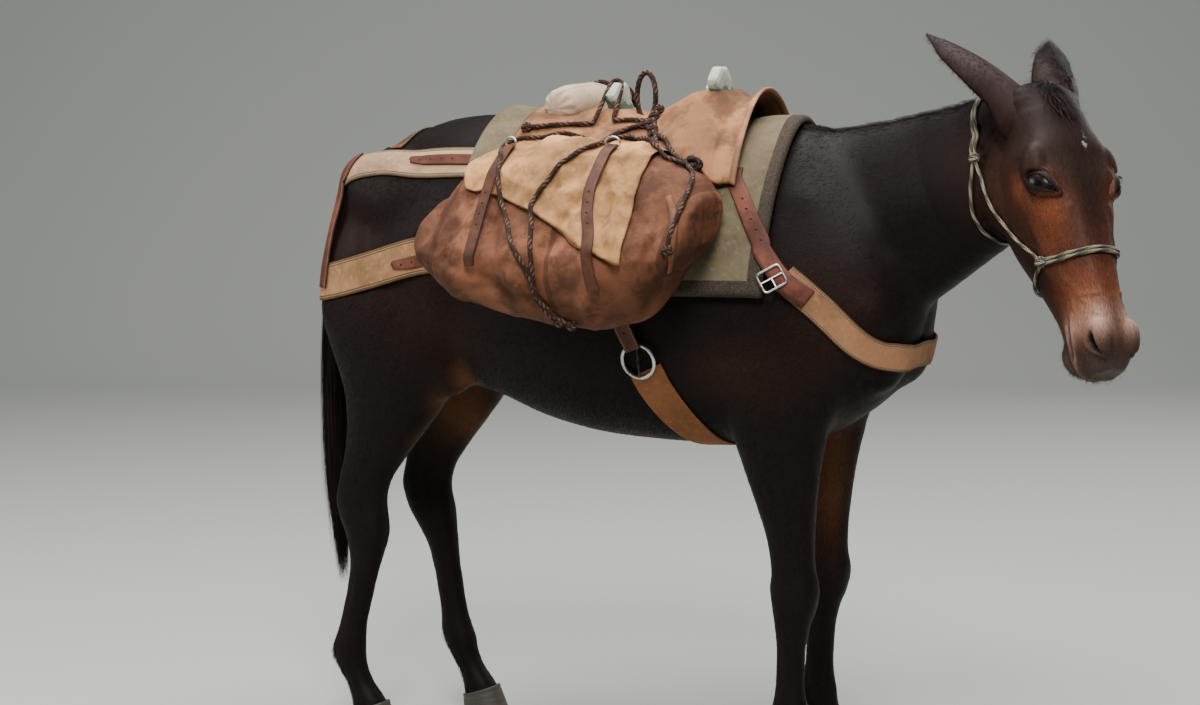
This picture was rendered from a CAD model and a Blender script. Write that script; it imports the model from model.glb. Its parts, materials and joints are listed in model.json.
# %% [markdown]
# # A pack mule in its tack
# The packed solids give every size and place. This script dresses them: one skin for the whole animal with
# its markings, lids and hair, and each strap, bag and rope as its own piece. Metres, +Z up, the head
# towards +X, the animal's left towards +Y, the floor at z = 0.

# %% Load the fixed frame
import json
import math

import bmesh
import bpy
import numpy as np
from mathutils import Matrix, Vector
from mathutils.bvhtree import BVHTree

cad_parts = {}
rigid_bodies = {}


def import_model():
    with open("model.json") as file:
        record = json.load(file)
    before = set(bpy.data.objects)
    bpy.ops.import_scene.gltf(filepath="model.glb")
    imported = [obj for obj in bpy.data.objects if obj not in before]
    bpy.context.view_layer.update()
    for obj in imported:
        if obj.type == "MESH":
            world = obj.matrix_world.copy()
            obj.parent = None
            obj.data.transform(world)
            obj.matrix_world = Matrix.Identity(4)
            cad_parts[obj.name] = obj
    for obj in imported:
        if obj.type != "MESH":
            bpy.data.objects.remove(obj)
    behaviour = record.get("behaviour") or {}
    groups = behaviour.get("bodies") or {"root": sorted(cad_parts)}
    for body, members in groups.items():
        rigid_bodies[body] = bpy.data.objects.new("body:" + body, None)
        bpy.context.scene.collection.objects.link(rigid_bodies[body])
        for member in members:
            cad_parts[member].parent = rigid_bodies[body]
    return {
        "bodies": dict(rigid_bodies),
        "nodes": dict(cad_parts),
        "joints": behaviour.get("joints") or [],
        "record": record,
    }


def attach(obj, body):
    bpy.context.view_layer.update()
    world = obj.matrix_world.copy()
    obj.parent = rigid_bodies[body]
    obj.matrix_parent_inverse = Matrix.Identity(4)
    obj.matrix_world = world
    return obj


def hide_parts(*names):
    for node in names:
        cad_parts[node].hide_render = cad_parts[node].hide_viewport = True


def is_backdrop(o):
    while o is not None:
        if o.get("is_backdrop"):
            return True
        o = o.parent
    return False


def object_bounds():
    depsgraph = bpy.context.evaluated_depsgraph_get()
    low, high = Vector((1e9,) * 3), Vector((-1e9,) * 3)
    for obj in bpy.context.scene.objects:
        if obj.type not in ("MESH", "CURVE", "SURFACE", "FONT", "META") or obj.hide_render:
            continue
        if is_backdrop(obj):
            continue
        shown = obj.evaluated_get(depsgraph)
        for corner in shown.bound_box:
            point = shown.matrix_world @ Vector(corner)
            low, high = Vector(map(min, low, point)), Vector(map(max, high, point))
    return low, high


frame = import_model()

SOLID_BOX = [list(corner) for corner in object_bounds()]
NODES = frame["nodes"]
SIDES = (("right", -1), ("left", 1))
print("solids", len(NODES), "box", np.round(SOLID_BOX, 3).tolist())

# %% [markdown]
# ## The camera
# The picture was taken from the animal's right and a little ahead, with a long lens at eye height. A long
# lens could be a wide one stood nearer, but that would stretch the head, so the real distance is kept: five
# metres to the withers along the ground.

# %% Stand the camera at the picture's viewpoint
WITHERS_X = 0.15
BODY_TURN = math.radians(28)
LENS_PIXELS = 2290.0
FRAME_SIZE = (1200, 705)
HORIZON_ROW = 78.0
WITHERS_COLUMN = 775.0
CAMERA_DISTANCE = 5.0
CAMERA_HEIGHT = 1.57
SENSOR = 36.0

across_view = Vector((math.cos(BODY_TURN), math.sin(BODY_TURN), 0))
into_view = Vector((-math.sin(BODY_TURN), math.cos(BODY_TURN), 0))
pitch = math.atan((FRAME_SIZE[1] / 2 - HORIZON_ROW) / LENS_PIXELS)
sideways = (WITHERS_COLUMN - FRAME_SIZE[0] / 2) / LENS_PIXELS * CAMERA_DISTANCE
lens = bpy.data.cameras.new("camera")
lens.sensor_width = SENSOR
lens.lens = LENS_PIXELS / FRAME_SIZE[0] * SENSOR
camera = bpy.data.objects.new("camera", lens)
bpy.context.scene.collection.objects.link(camera)
withers = Vector((WITHERS_X, 0, CAMERA_HEIGHT))
camera.location = withers - across_view * sideways - into_view * CAMERA_DISTANCE
look = into_view * math.cos(pitch) - Vector((0, 0, 1)) * math.sin(pitch)
camera.rotation_euler = look.to_track_quat("-Z", "Y").to_euler()
bpy.context.scene.camera = camera
print("camera at", np.round(camera.location, 2).tolist(), "lens", round(lens.lens, 1), "mm")

# %% [markdown]
# ## A plain studio
# A pale floor that bends up into a wall gives no horizon line behind dark legs. Two big soft lamps stand in
# for an overcast sky with the sun behind thin cloud, which is what keeps a black coat readable.

# %% Floor, sky and lamps
STUDIO = (0.36, 0.37, 0.34)
LAMPS = (
    ("key", (1.9, -4.6, 6.3), (2.4, 2.4), 640),
    ("sky", (-0.4, 0.4, 6.0), (4.5, 3.5), 600),
    ("rear", (-4.5, -2.5, 3.2), (2.5, 2.5), 150),
    ("far", (2.0, 5.5, 3.5), (3.0, 3.0), 120),
)


def sweep_points(reach=9.0, bend=2.5, rise=7.0, steps=24):
    """A floor that turns up in a quarter circle: level out to the bend, then up. Rows follow that line."""
    turn = np.linspace(0, np.pi / 2, steps)
    out = np.concatenate([[-reach], reach - bend + bend * np.sin(turn), [reach]])
    up = np.concatenate([[0.0], bend - bend * np.cos(turn), [rise]])
    wide = np.linspace(-14, 14, 9)
    along = np.array(across_view)[None, None, :] * wide[None, :, None]
    back = np.array(into_view)[None, None, :] * out[:, None, None]
    return along + back + np.array([0, 0, 1.0]) * up[:, None, None]


def mesh_of(name, spots, loops, starts):
    """A mesh from its points, the corners of all its faces in one row, and where each face starts."""
    mesh = bpy.data.meshes.new(name)
    mesh.vertices.add(len(spots))
    mesh.vertices.foreach_set("co", np.ascontiguousarray(spots, np.float32).ravel())
    mesh.loops.add(len(loops))
    mesh.loops.foreach_set("vertex_index", loops.astype(np.int32))
    mesh.polygons.add(len(starts))
    mesh.polygons.foreach_set("loop_start", starts.astype(np.int32))
    mesh.update(calc_edges=True)
    return mesh


def mesh_from_grid(name, points, around=False, along=False, caps=False, uv=None):
    """A surface from a grid of points, rows by columns by 3: each face joins four neighbours. `around` joins
    the last column to the first, `along` the last row to the first, and caps close both ends with fans."""
    rows, columns = points.shape[:2]
    row = np.arange(rows if along else rows - 1)[:, None]
    column = np.arange(columns if around else columns - 1)[None, :]
    next_row, next_column = (row + 1) % rows, (column + 1) % columns
    quads = np.stack([row * columns + column, row * columns + next_column,
                      next_row * columns + next_column, next_row * columns + column], axis=-1).reshape(-1, 4)
    spots = points.reshape(-1, 3)
    loops, starts = quads.ravel(), np.arange(len(quads)) * 4
    if caps:
        spots = np.vstack([spots, points[0].mean(axis=0), points[-1].mean(axis=0)])
        ring = np.arange(columns)
        after = (ring + 1) % columns
        first = np.stack([after, ring, np.full(columns, rows * columns)], axis=1)
        last = np.stack([ring, after, np.full(columns, rows * columns + 1)], axis=1)
        last[:, :2] += (rows - 1) * columns
        fans = np.vstack([first, last])
        starts = np.concatenate([starts, len(loops) + np.arange(len(fans)) * 3])
        loops = np.concatenate([loops, fans.ravel()])
    mesh = mesh_of(name, spots, loops, starts)
    if uv is not None:
        layer = mesh.uv_layers.new(name="cloth")
        wide_row = np.broadcast_to(row, (row.shape[0], column.shape[1]))
        wide_column = np.broadcast_to(column, wide_row.shape)
        corners = np.stack([uv[wide_row, wide_column], uv[wide_row, wide_column + 1],
                            uv[wide_row + 1, wide_column + 1], uv[wide_row + 1, wide_column]], axis=2)
        flat = np.zeros((len(loops), 2), np.float32)
        flat[: corners.size // 2] = corners.reshape(-1, 2)
        layer.data.foreach_set("uv", flat.ravel())
    return mesh


def turned_out(mesh):
    """Flips a closed mesh whose signed volume is negative: the sum of each face's middle along its normal,
    times its area, over three."""
    if len(mesh.loops) == 2 * len(mesh.edges):
        middle, normal = np.empty((2, len(mesh.polygons), 3), np.float32)
        area = np.empty(len(mesh.polygons), np.float32)
        mesh.polygons.foreach_get("center", middle.ravel())
        mesh.polygons.foreach_get("normal", normal.ravel())
        mesh.polygons.foreach_get("area", area)
        if ((middle * normal).sum(axis=1) * area).sum() < 0:
            mesh.flip_normals()


def piece(name, mesh):
    """An object at the origin that holds the mesh."""
    turned_out(mesh)
    mesh.name = name
    mesh.polygons.foreach_set("use_smooth", [True] * len(mesh.polygons))
    made = bpy.data.objects.new(name, mesh)
    bpy.context.scene.collection.objects.link(made)
    return made


stage = piece("studio", mesh_from_grid("studio", sweep_points()))
pale = bpy.data.materials.new("studio_pale")
pale.use_nodes = True
paint = pale.node_tree.nodes["Principled BSDF"].inputs
paint["Base Color"].default_value = (*STUDIO, 1)
paint["Roughness"].default_value = 0.9
stage.data.materials.append(pale)
stage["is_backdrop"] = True

world = bpy.data.worlds.new("sky")
bpy.context.scene.world = world
world.use_nodes = True
sky = world.node_tree.nodes["Background"].inputs
sky["Color"].default_value = (0.80, 0.86, 0.95, 1)
sky["Strength"].default_value = 0.16
for lamp_name, place, size, power in LAMPS:
    lamp = bpy.data.lights.new(lamp_name, "AREA")
    lamp.shape = "RECTANGLE"
    lamp.size, lamp.size_y = size
    lamp.energy = power
    holder = bpy.data.objects.new(lamp_name, lamp)
    holder.location = place
    holder.rotation_euler = (Vector((0, 0, 1.0)) - Vector(place)).to_track_quat("-Z", "Y").to_euler()
    bpy.context.scene.collection.objects.link(holder)
print("lamps", [name for name, *_ in LAMPS])

# %% [markdown]
# ## Shader sums as plain Python
# A shader mask is a sum, and wiring Math nodes one by one hides it. A small class wraps a socket, so that
# `1 - mask * 0.5` adds the nodes itself.

# %% A socket that takes part in sums
class Value:
    """A shader socket. Each operator and each word adds one Math node."""

    def __init__(self, finish, socket):
        self.finish = finish
        self.socket = socket

    def maths(self, operation, *others):
        return self.finish.node("ShaderNodeMath", {"operation": operation}, dict(enumerate([self, *others])))

    def __add__(self, other):
        return self.maths("ADD", other)

    def __sub__(self, other):
        return self.maths("SUBTRACT", other)

    def __rsub__(self, other):
        return self.finish.node("ShaderNodeMath", {"operation": "SUBTRACT"}, {0: other, 1: self})

    def __mul__(self, other):
        return self.maths("MULTIPLY", other)

    def __truediv__(self, other):
        return self.maths("DIVIDE", other)

    def __pow__(self, other):
        return self.maths("POWER", other)

    __radd__ = __add__
    __rmul__ = __mul__

    def root(self):
        return self.maths("SQRT")

    def sine(self):
        return self.maths("SINE")

    def size(self):
        """Without its sign."""
        return self.maths("ABSOLUTE")

    def share(self):
        """What is past the last whole number."""
        return self.maths("FRACT")

    def least(self, other):
        return self.maths("MINIMUM", other)

    def most(self, other):
        return self.maths("MAXIMUM", other)

    def rise(self, low, high):
        """0 below low, 1 above high and a smooth step between them."""
        settings = {"interpolation_type": "SMOOTHSTEP"}
        return self.finish.node("ShaderNodeMapRange", settings, {0: self, 1: low, 2: high})


def tint(colour, share):
    """A colour times a share, each channel 1 at most."""
    return tuple(min(1, channel * share) for channel in colour)


class Finish:
    """A material and the nodes that make it."""

    def __init__(self, name, roughness, gloss, **settings):
        self.material = bpy.data.materials.new(name)
        self.material.use_nodes = True
        self.tree = self.material.node_tree
        self.shader = self.tree.nodes["Principled BSDF"]
        settings.update(Roughness=roughness, Specular_IOR_Level=gloss)
        for socket, value in settings.items():
            self.shader.inputs[socket.replace("_", " ")].default_value = value

    def node(self, kind, settings=None, inputs=None, output=0):
        """One node: its settings first, then the values or links of its sockets."""
        made = self.tree.nodes.new(kind)
        for name, value in (settings or {}).items():
            setattr(made, name, value)
        for name, value in (inputs or {}).items():
            self.feed(made.inputs[name], value)
        return Value(self, made.outputs[output])

    def feed(self, socket, value):
        if isinstance(value, Value):
            self.tree.links.new(value.socket, socket)
        elif socket.type == "RGBA" and not isinstance(value, (int, float)):
            socket.default_value = (*value, 1)
        else:
            socket.default_value = value

    def scaled(self, spot, size):
        return self.node("ShaderNodeMapping", None, {"Vector": spot, "Scale": size})

    def place(self, size=(1, 1, 1)):
        """Object coordinates, scaled."""
        return self.scaled(self.node("ShaderNodeTexCoord", output="Object"), size)

    def cloth(self):
        """Metres along and across the piece, from its own map."""
        spot = self.node("ShaderNodeUVMap", {"uv_map": "cloth"})
        return self.part(spot, 0), self.part(spot, 1)

    def noise(self, scale, detail=3.0, rough=0.55, where=None):
        sockets = {"Vector": where or self.place(), "Scale": scale, "Detail": detail, "Roughness": rough}
        return self.node("ShaderNodeTexNoise", None, sockets)

    def kept(self, name):
        """What the mesh's own points carry under a name."""
        return self.node("ShaderNodeAttribute", {"attribute_name": name}, output="Vector")

    def part(self, vector, axis):
        return self.node("ShaderNodeSeparateXYZ", None, {0: vector}, output=axis)

    def mix(self, share, first, second):
        return self.node("ShaderNodeMix", {"data_type": "RGBA"}, {0: share, 6: first, 7: second}, output=2)

    def vector(self, operation, inputs, output=0):
        return self.node("ShaderNodeVectorMath", {"operation": operation}, inputs, output)

    def colour(self, value):
        self.feed(self.shader.inputs["Base Color"], value)

    def coloured(self):
        """The colour laid so far, for more to be laid over it."""
        return Value(self, self.shader.inputs["Base Color"].links[0].from_socket)

    def rough(self, value):
        self.feed(self.shader.inputs["Roughness"], value)

    def bump(self, height, distance, strength):
        made = self.node("ShaderNodeBump", None,
                         {"Height": height, "Distance": distance, "Strength": strength})
        self.feed(self.shader.inputs["Normal"], made)


print("sums on sockets:", [word for word in vars(Value) if not word.startswith("_")])

# %% [markdown]
# ## Smooth tables, rings and routes
# A body is easiest to say as a table: at each place, how high, how deep, how wide and how square. Straight
# lines between the rows would show as facets and plain cubic curves overshoot, so a monotone cubic is used.

# %% Tables, rings and routes
def turns(count):
    """Angles evenly spaced once round, without the last."""
    return np.linspace(0, 2 * np.pi, count, endpoint=False)


def at_places(places, known, rows):
    """The rows of a path, read between the known places."""
    return np.stack([np.interp(places, known, rows[:, i]) for i in range(3)], axis=-1)


def bell(distance):
    """e to the minus the square of a distance."""
    return np.exp(-(distance**2))


def sgn_pow(value, power):
    """A power of the size, with the sign kept."""
    return np.sign(value) * np.abs(value) ** power


def smooth_table(rows, count):
    """The rows of a table at evenly spaced places, by monotone cubic curves through them."""
    rows = np.array(rows, float)
    steps = np.concatenate([[0], np.cumsum(np.linalg.norm(np.diff(rows[:, :3], axis=0), axis=1))])
    at = np.linspace(0, steps[-1], count)
    width = np.diff(steps)[:, None]
    slope = np.diff(rows, axis=0) / width
    same = slope[1:] * slope[:-1] > 0
    before, after = np.where(same, slope[:-1], 1), np.where(same, slope[1:], 1)
    weight_a, weight_b = 2 * width[1:] + width[:-1], width[1:] + 2 * width[:-1]
    tangent = np.zeros_like(rows)
    tangent[1:-1] = np.where(same, (weight_a + weight_b) / (weight_a / before + weight_b / after), 0)
    tangent[0], tangent[-1] = slope[0], slope[-1]
    cell = np.clip(np.searchsorted(steps, at, side="right") - 1, 0, len(steps) - 2)
    step = width[cell]
    t = (at - steps[cell])[:, None] / step
    return (
        (2 * t**3 - 3 * t**2 + 1) * rows[cell]
        + (t**3 - 2 * t**2 + t) * step * tangent[cell]
        + (3 * t**2 - 2 * t**3) * rows[cell + 1]
        + (t**3 - t**2) * step * tangent[cell + 1]
    )


def body_rings(rows, count, sides):
    """Rounded-square rings round a path: a side is cos of the turn to the power 2 / roundness, times the half
    size there. A row of seven has no y, and its rings stand upright."""
    table = smooth_table(rows, count)
    upright = table.shape[1] == 7
    if upright:
        table = np.insert(table, 1, 0, axis=1)
    centre = table[:, :3]
    up, down, half, round_up, round_down = table[:, 3:].T[:, :, None]
    along = np.gradient(centre, axis=0)
    if upright:
        along = np.tile([1.0, 0.0, 0.0], (count, 1))
    side = np.cross([0.0, 0.0, 1.0], along)
    side /= np.linalg.norm(side, axis=1)[:, None]
    above = np.cross(along, side)
    above /= np.linalg.norm(above, axis=1)[:, None]
    turn = turns(sides)[None, :]
    power = 2 / np.where(np.sin(turn) > 0, round_up, round_down)
    y = half * sgn_pow(np.cos(turn), power)
    z = np.where(np.sin(turn) > 0, up, down) * sgn_pow(np.sin(turn), power)
    return centre[:, None] + y[:, :, None] * side[:, None] + z[:, :, None] * above[:, None]


def leg_rings(rows, stance, sign, count, sides):
    """Level rounded-square rings of a leg, moved along x by its stance at the knee and at the foot."""
    z, x, y, depth, width, roundness = smooth_table(rows, count).T[:, :, None]
    middle, foot = stance
    shift = np.interp(z, (0.2, 0.5, 1.0), (foot, middle, 0))
    turn = turns(sides)[None, :]
    power = 2 / roundness
    across = sign * y + width * sgn_pow(np.sin(turn), power)
    along = x + shift + depth * sgn_pow(np.cos(turn), power)
    return np.stack([along, across, z + 0 * turn], axis=2)


def spread(points, count):
    """Evenly spaced points on a smooth curve through the given ones."""
    points = np.array(points, float)
    points = np.vstack([2 * points[0] - points[1], points, 2 * points[-1] - points[-2]])
    t = np.linspace(0, 1, 24, endpoint=False)[None, :, None]
    a, b, c, d = (points[i : len(points) - 3 + i, None] for i in range(4))
    dense = 0.5 * (2 * b + (c - a) * t + (2 * a - 5 * b + 4 * c - d) * t**2 + (3 * b - a - 3 * c + d) * t**3)
    dense = np.vstack([dense.reshape(-1, 3), points[-2:-1]])
    length = np.concatenate([[0], np.cumsum(np.linalg.norm(np.diff(dense, axis=0), axis=1))])
    at = np.linspace(0, length[-1], count)
    return at_places(at, length, dense)


def unit(vectors):
    """Vectors over their own lengths."""
    return vectors / np.maximum(np.linalg.norm(vectors, axis=-1, keepdims=True), 1e-9)


def route_length(points):
    """The sum of the steps from point to point."""
    return float(np.linalg.norm(np.diff(points, axis=0), axis=1).sum())


def reworked(meshes, change, into=None):
    """Loads meshes into one editable shape, changes it, and writes it to a mesh where one is given."""
    shape = bmesh.new()
    for mesh in meshes:
        shape.from_mesh(mesh)
    made = change(shape)
    if into is not None:
        shape.to_mesh(into)
    shape.free()
    return into if into is not None else made


def outwards(shape):
    """Turns a closed shape's faces outwards."""
    bmesh.ops.recalc_face_normals(shape, faces=shape.faces)


def tree_of(things):
    """One search tree of several objects' surfaces."""
    return reworked([thing.data for thing in things], BVHTree.FromBMesh)


def pressed(points, tree, lift=0.0):
    """Each point on the nearest surface, at its lift, with the normals there."""
    found = [tree.find_nearest(Vector(point))[:2] for point in points.reshape(-1, 3)]
    place = np.array([spot for spot, _ in found])
    out = np.array([normal for _, normal in found])
    return (place + out * lift).reshape(points.shape), out.reshape(points.shape)


def softened(values, passes=2):
    """Rows averaged with their neighbours, ends kept."""
    values = values.copy()
    for _ in range(passes):
        values[1:-1] = 0.25 * values[:-2] + 0.5 * values[1:-1] + 0.25 * values[2:]
    return values


def together(name, meshes):
    """Several meshes as one, each turned outwards; maps are kept."""
    return reworked(meshes, outwards, bpy.data.meshes.new(name))


def dress(mesh, material, nodes, name=None):
    """A piece with its material, riding on the root in place of its nodes."""
    made = piece(name or mesh.name, mesh)
    made.data.materials.append(material)
    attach(made, "root")
    if nodes:
        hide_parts(*nodes)
    return made


tube = body_rings(((0, 1, 0.3, 0.3, 0.2, 2, 2), (1, 1, 0.3, 0.3, 0.2, 2, 2)), 2, 8)
print("a short tube as rings, points and axes", tube.shape)

# %% [markdown]
# ## The form of the animal
# The same named sizes shape the solids. Here the rings are finer. The trunk, neck, skull, legs and muscles
# are loose closed forms that run into one another; one voxel skin round them all leaves no seam, which
# joining edge to edge would.

# %% Sizes of trunk, neck and muscles
TRUNK = (
    (-1.105, 1.15, 0.06, 0.08, 0.05, 2.0, 2.0),
    (-1.08, 1.14, 0.13, 0.13, 0.11, 2.0, 2.0),
    (-1.02, 1.14, 0.215, 0.19, 0.165, 2.1, 2.0),
    (-0.92, 1.15, 0.288, 0.24, 0.212, 2.0, 2.1),
    (-0.79, 1.16, 0.322, 0.295, 0.242, 1.9, 2.2),
    (-0.66, 1.15, 0.338, 0.312, 0.258, 1.9, 2.2),
    (-0.52, 1.12, 0.345, 0.328, 0.272, 2.0, 2.2),
    (-0.38, 1.1, 0.342, 0.332, 0.284, 2.1, 2.2),
    (-0.24, 1.09, 0.342, 0.328, 0.276, 2.0, 2.2),
    (-0.11, 1.08, 0.362, 0.316, 0.252, 1.8, 2.1),
    (0.0, 1.08, 0.392, 0.31, 0.232, 1.6, 2.1),
    (0.11, 1.09, 0.38, 0.304, 0.22, 1.6, 2.1),
    (0.21, 1.09, 0.33, 0.25, 0.2, 1.8, 2.1),
    (0.29, 1.1, 0.24, 0.19, 0.165, 2.0, 2.1),
    (0.335, 1.11, 0.15, 0.13, 0.12, 2.0, 2.0),
    (0.36, 1.12, 0.06, 0.06, 0.06, 2.0, 2.0),
)
NECK = (
    (0.06, 0.0, 1.18, 0.27, 0.24, 0.15, 1.8, 2.0),
    (0.2, 0.0, 1.23, 0.245, 0.215, 0.132, 1.7, 2.0),
    (0.34, -0.02, 1.285, 0.215, 0.18, 0.108, 1.6, 2.0),
    (0.47, -0.065, 1.34, 0.19, 0.15, 0.088, 1.6, 2.0),
    (0.57, -0.115, 1.39, 0.165, 0.128, 0.078, 1.7, 2.0),
    (0.65, -0.17, 1.43, 0.138, 0.112, 0.076, 1.9, 2.0),
    (0.7, -0.21, 1.455, 0.1, 0.1, 0.066, 2.0, 2.0),
)
MUSCLES = {
    "shoulder_blade": (0.08, 0.128, 1.16, 0.105, 0.056, 0.2, 22),
    "point_of_shoulder": (0.235, 0.115, 1.08, 0.1, 0.075, 0.095, 0),
    "triceps": (0.02, 0.165, 1.0, 0.13, 0.06, 0.13, 30),
    "breast": (0.27, 0.07, 1.01, 0.075, 0.07, 0.11, 0),
    "hip_point": (-0.65, 0.135, 1.31, 0.12, 0.075, 0.085, 0),
    "rump": (-0.83, 0.1, 1.27, 0.24, 0.125, 0.135, 14),
    "thigh_back": (-0.985, 0.11, 1.11, 0.085, 0.085, 0.24, -8),
    "stifle": (-0.745, 0.15, 0.955, 0.085, 0.06, 0.12, 0),
}
print("trunk rows", len(TRUNK), "neck rows", len(NECK), "muscles", len(MUSCLES))

# %% Sizes of the legs
FORE_LEG = (
    (1.0, 0.11, 0.12, 0.13, 0.07, 2.1),
    (0.9, 0.085, 0.128, 0.132, 0.074, 2.1),
    (0.82, 0.07, 0.126, 0.112, 0.072, 2.1),
    (0.74, 0.075, 0.122, 0.09, 0.064, 2.1),
    (0.66, 0.085, 0.12, 0.071, 0.053, 2.1),
    (0.58, 0.096, 0.118, 0.056, 0.044, 2.1),
    (0.52, 0.102, 0.117, 0.051, 0.042, 2.3),
    (0.47, 0.106, 0.116, 0.054, 0.046, 2.6),
    (0.43, 0.105, 0.116, 0.05, 0.043, 2.5),
    (0.39, 0.1, 0.116, 0.041, 0.035, 2.2),
    (0.33, 0.098, 0.116, 0.035, 0.028, 2.2),
    (0.27, 0.097, 0.116, 0.035, 0.027, 2.2),
    (0.23, 0.097, 0.116, 0.039, 0.031, 2.1),
    (0.2, 0.098, 0.116, 0.045, 0.036, 2.0),
    (0.17, 0.106, 0.116, 0.04, 0.033, 2.0),
    (0.13, 0.128, 0.116, 0.036, 0.031, 2.0),
    (0.095, 0.15, 0.116, 0.045, 0.038, 2.0),
    (0.05, 0.165, 0.116, 0.05, 0.044, 2.0),
)
HIND_LEG = (
    (1.26, -0.86, 0.115, 0.19, 0.085, 2.2),
    (1.15, -0.87, 0.125, 0.222, 0.1, 2.2),
    (1.04, -0.875, 0.13, 0.226, 0.105, 2.2),
    (0.94, -0.885, 0.132, 0.196, 0.098, 2.1),
    (0.85, -0.91, 0.132, 0.148, 0.084, 2.1),
    (0.76, -0.952, 0.13, 0.108, 0.066, 2.1),
    (0.68, -1.0, 0.128, 0.082, 0.051, 2.1),
    (0.62, -1.035, 0.126, 0.07, 0.043, 2.1),
    (0.57, -1.05, 0.125, 0.068, 0.042, 2.3),
    (0.52, -1.045, 0.125, 0.062, 0.044, 2.5),
    (0.47, -1.035, 0.125, 0.05, 0.04, 2.4),
    (0.42, -1.03, 0.125, 0.041, 0.032, 2.2),
    (0.35, -1.03, 0.125, 0.037, 0.029, 2.2),
    (0.28, -1.032, 0.125, 0.037, 0.028, 2.2),
    (0.24, -1.032, 0.125, 0.041, 0.032, 2.1),
    (0.205, -1.03, 0.125, 0.046, 0.037, 2.0),
    (0.175, -1.02, 0.125, 0.04, 0.034, 2.0),
    (0.135, -0.998, 0.125, 0.036, 0.031, 2.0),
    (0.095, -0.975, 0.125, 0.045, 0.037, 2.0),
    (0.05, -0.96, 0.125, 0.05, 0.042, 2.0),
)
STANCES = {
    "fore_leg_right": (0.0, 0.0),
    "fore_leg_left": (-0.02, -0.03),
    "hind_leg_right": (0.05, -0.02),
    "hind_leg_left": (0.08, 0.14),
}
print("leg rows", len(FORE_LEG), len(HIND_LEG))

# %% Sizes of the head, in its own frame
POLL = (0.678, -0.192, 1.552)
HEAD_PITCH = 59
HEAD_YAW = -44
HEAD_ROLL = -5.5
HEAD = (
    (-0.045, -0.075, 0.03, 0.03, 0.035, 2.0, 2.0),
    (-0.02, -0.07, 0.06, 0.07, 0.062, 2.0, 2.0),
    (0.03, -0.062, 0.068, 0.118, 0.078, 2.2, 2.0),
    (0.09, -0.058, 0.072, 0.178, 0.086, 2.4, 1.8),
    (0.145, -0.056, 0.076, 0.21, 0.098, 2.6, 1.6),
    (0.2, -0.056, 0.076, 0.202, 0.097, 2.6, 1.6),
    (0.255, -0.058, 0.074, 0.188, 0.085, 2.4, 1.6),
    (0.325, -0.06, 0.068, 0.156, 0.066, 2.3, 1.7),
    (0.395, -0.062, 0.066, 0.124, 0.053, 2.3, 1.8),
    (0.455, -0.064, 0.064, 0.1, 0.048, 2.3, 1.9),
    (0.498, -0.066, 0.062, 0.09, 0.049, 2.3, 2.0),
    (0.536, -0.068, 0.058, 0.076, 0.05, 2.3, 2.1),
    (0.565, -0.072, 0.05, 0.06, 0.045, 2.2, 2.1),
    (0.583, -0.078, 0.034, 0.034, 0.033, 2.0, 2.0),
)
HEAD_LUMPS = {
    "brow": (0.172, 0.08, -0.024, 0.052, 0.026, 0.03, 14),
    "orbit": (0.208, 0.064, -0.024, 0.046, 0.03, 0.036, 10),
    "ear_base": (0.012, 0.05, -0.05, 0.044, 0.03, 0.036, 0),
    "cheek": (0.14, 0.052, -0.15, 0.1, 0.034, 0.098, 0),
    "face_crest": (0.275, 0.058, -0.085, 0.1, 0.014, 0.014, 6),
    "nostril_wing": (0.526, 0.03, -0.03, 0.04, 0.021, 0.03, 0),
    "upper_lip": (0.553, 0.018, -0.095, 0.03, 0.034, 0.024, 0),
    "chin": (0.522, 0.012, -0.136, 0.04, 0.028, 0.022, 0),
}
EYE_PLACE = (0.205, 0.077, -0.022)
turned = Matrix.Rotation(math.radians(HEAD_YAW), 4, "Z") @ Matrix.Rotation(math.radians(HEAD_PITCH), 4, "Y")
turned = turned @ Matrix.Rotation(math.radians(HEAD_ROLL), 4, "X")
HEAD_FRAME = Matrix.Translation(Vector(POLL) + Vector((WITHERS_X, 0, 0))) @ turned
HEAD_TURN = np.array(turned.to_3x3())
HEAD_ORIGIN = np.array(HEAD_FRAME.translation)


def in_head(points):
    """World points in the head's frame: x down the face from the poll, y to its left, z out of the face."""
    return (np.asarray(points, float) - HEAD_ORIGIN) @ HEAD_TURN


def from_head(points):
    """The way back: points in the head's frame, in the world."""
    return np.asarray(points, float) @ HEAD_TURN.T + HEAD_ORIGIN


print("head from", np.round(HEAD_ORIGIN, 3).tolist(), "to",
      np.round(from_head((HEAD[-1][0], 0, -0.08)), 3).tolist())

# %% Loose forms and one voxel skin round them
BODY_VOXEL = 0.0119
COAT_DEPTH = 0.002


def ball_points(row, sign=1, across=28, down=14):
    """An egg: cos and sin of two angles times three half sizes, turned about y and moved to its centre."""
    x, y, z, length, width, height, tilt = row
    around = turns(across)[None, :]
    over = np.linspace(0.02, np.pi - 0.02, down)[:, None]
    egg = np.stack([length * np.cos(over) + 0 * around, width * np.sin(over) * np.cos(around),
                    height * np.sin(over) * np.sin(around)], axis=2)
    tilt = math.radians(tilt)
    turn = np.array([[math.cos(tilt), 0, math.sin(tilt)], [0, 1, 0], [-math.sin(tilt), 0, math.cos(tilt)]])
    return egg @ turn.T + np.array([x, sign * y, z])


def leg_rows(name):
    """The table of a leg by its name."""
    return FORE_LEG if name.startswith("fore") else HIND_LEG


def side_of(name):
    """-1 on the right, 1 on the left."""
    return -1 if name.endswith("right") else 1


def joined(name, meshes):
    """One object from several meshes, each turned outwards."""
    return piece(name, together(name, meshes))


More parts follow.
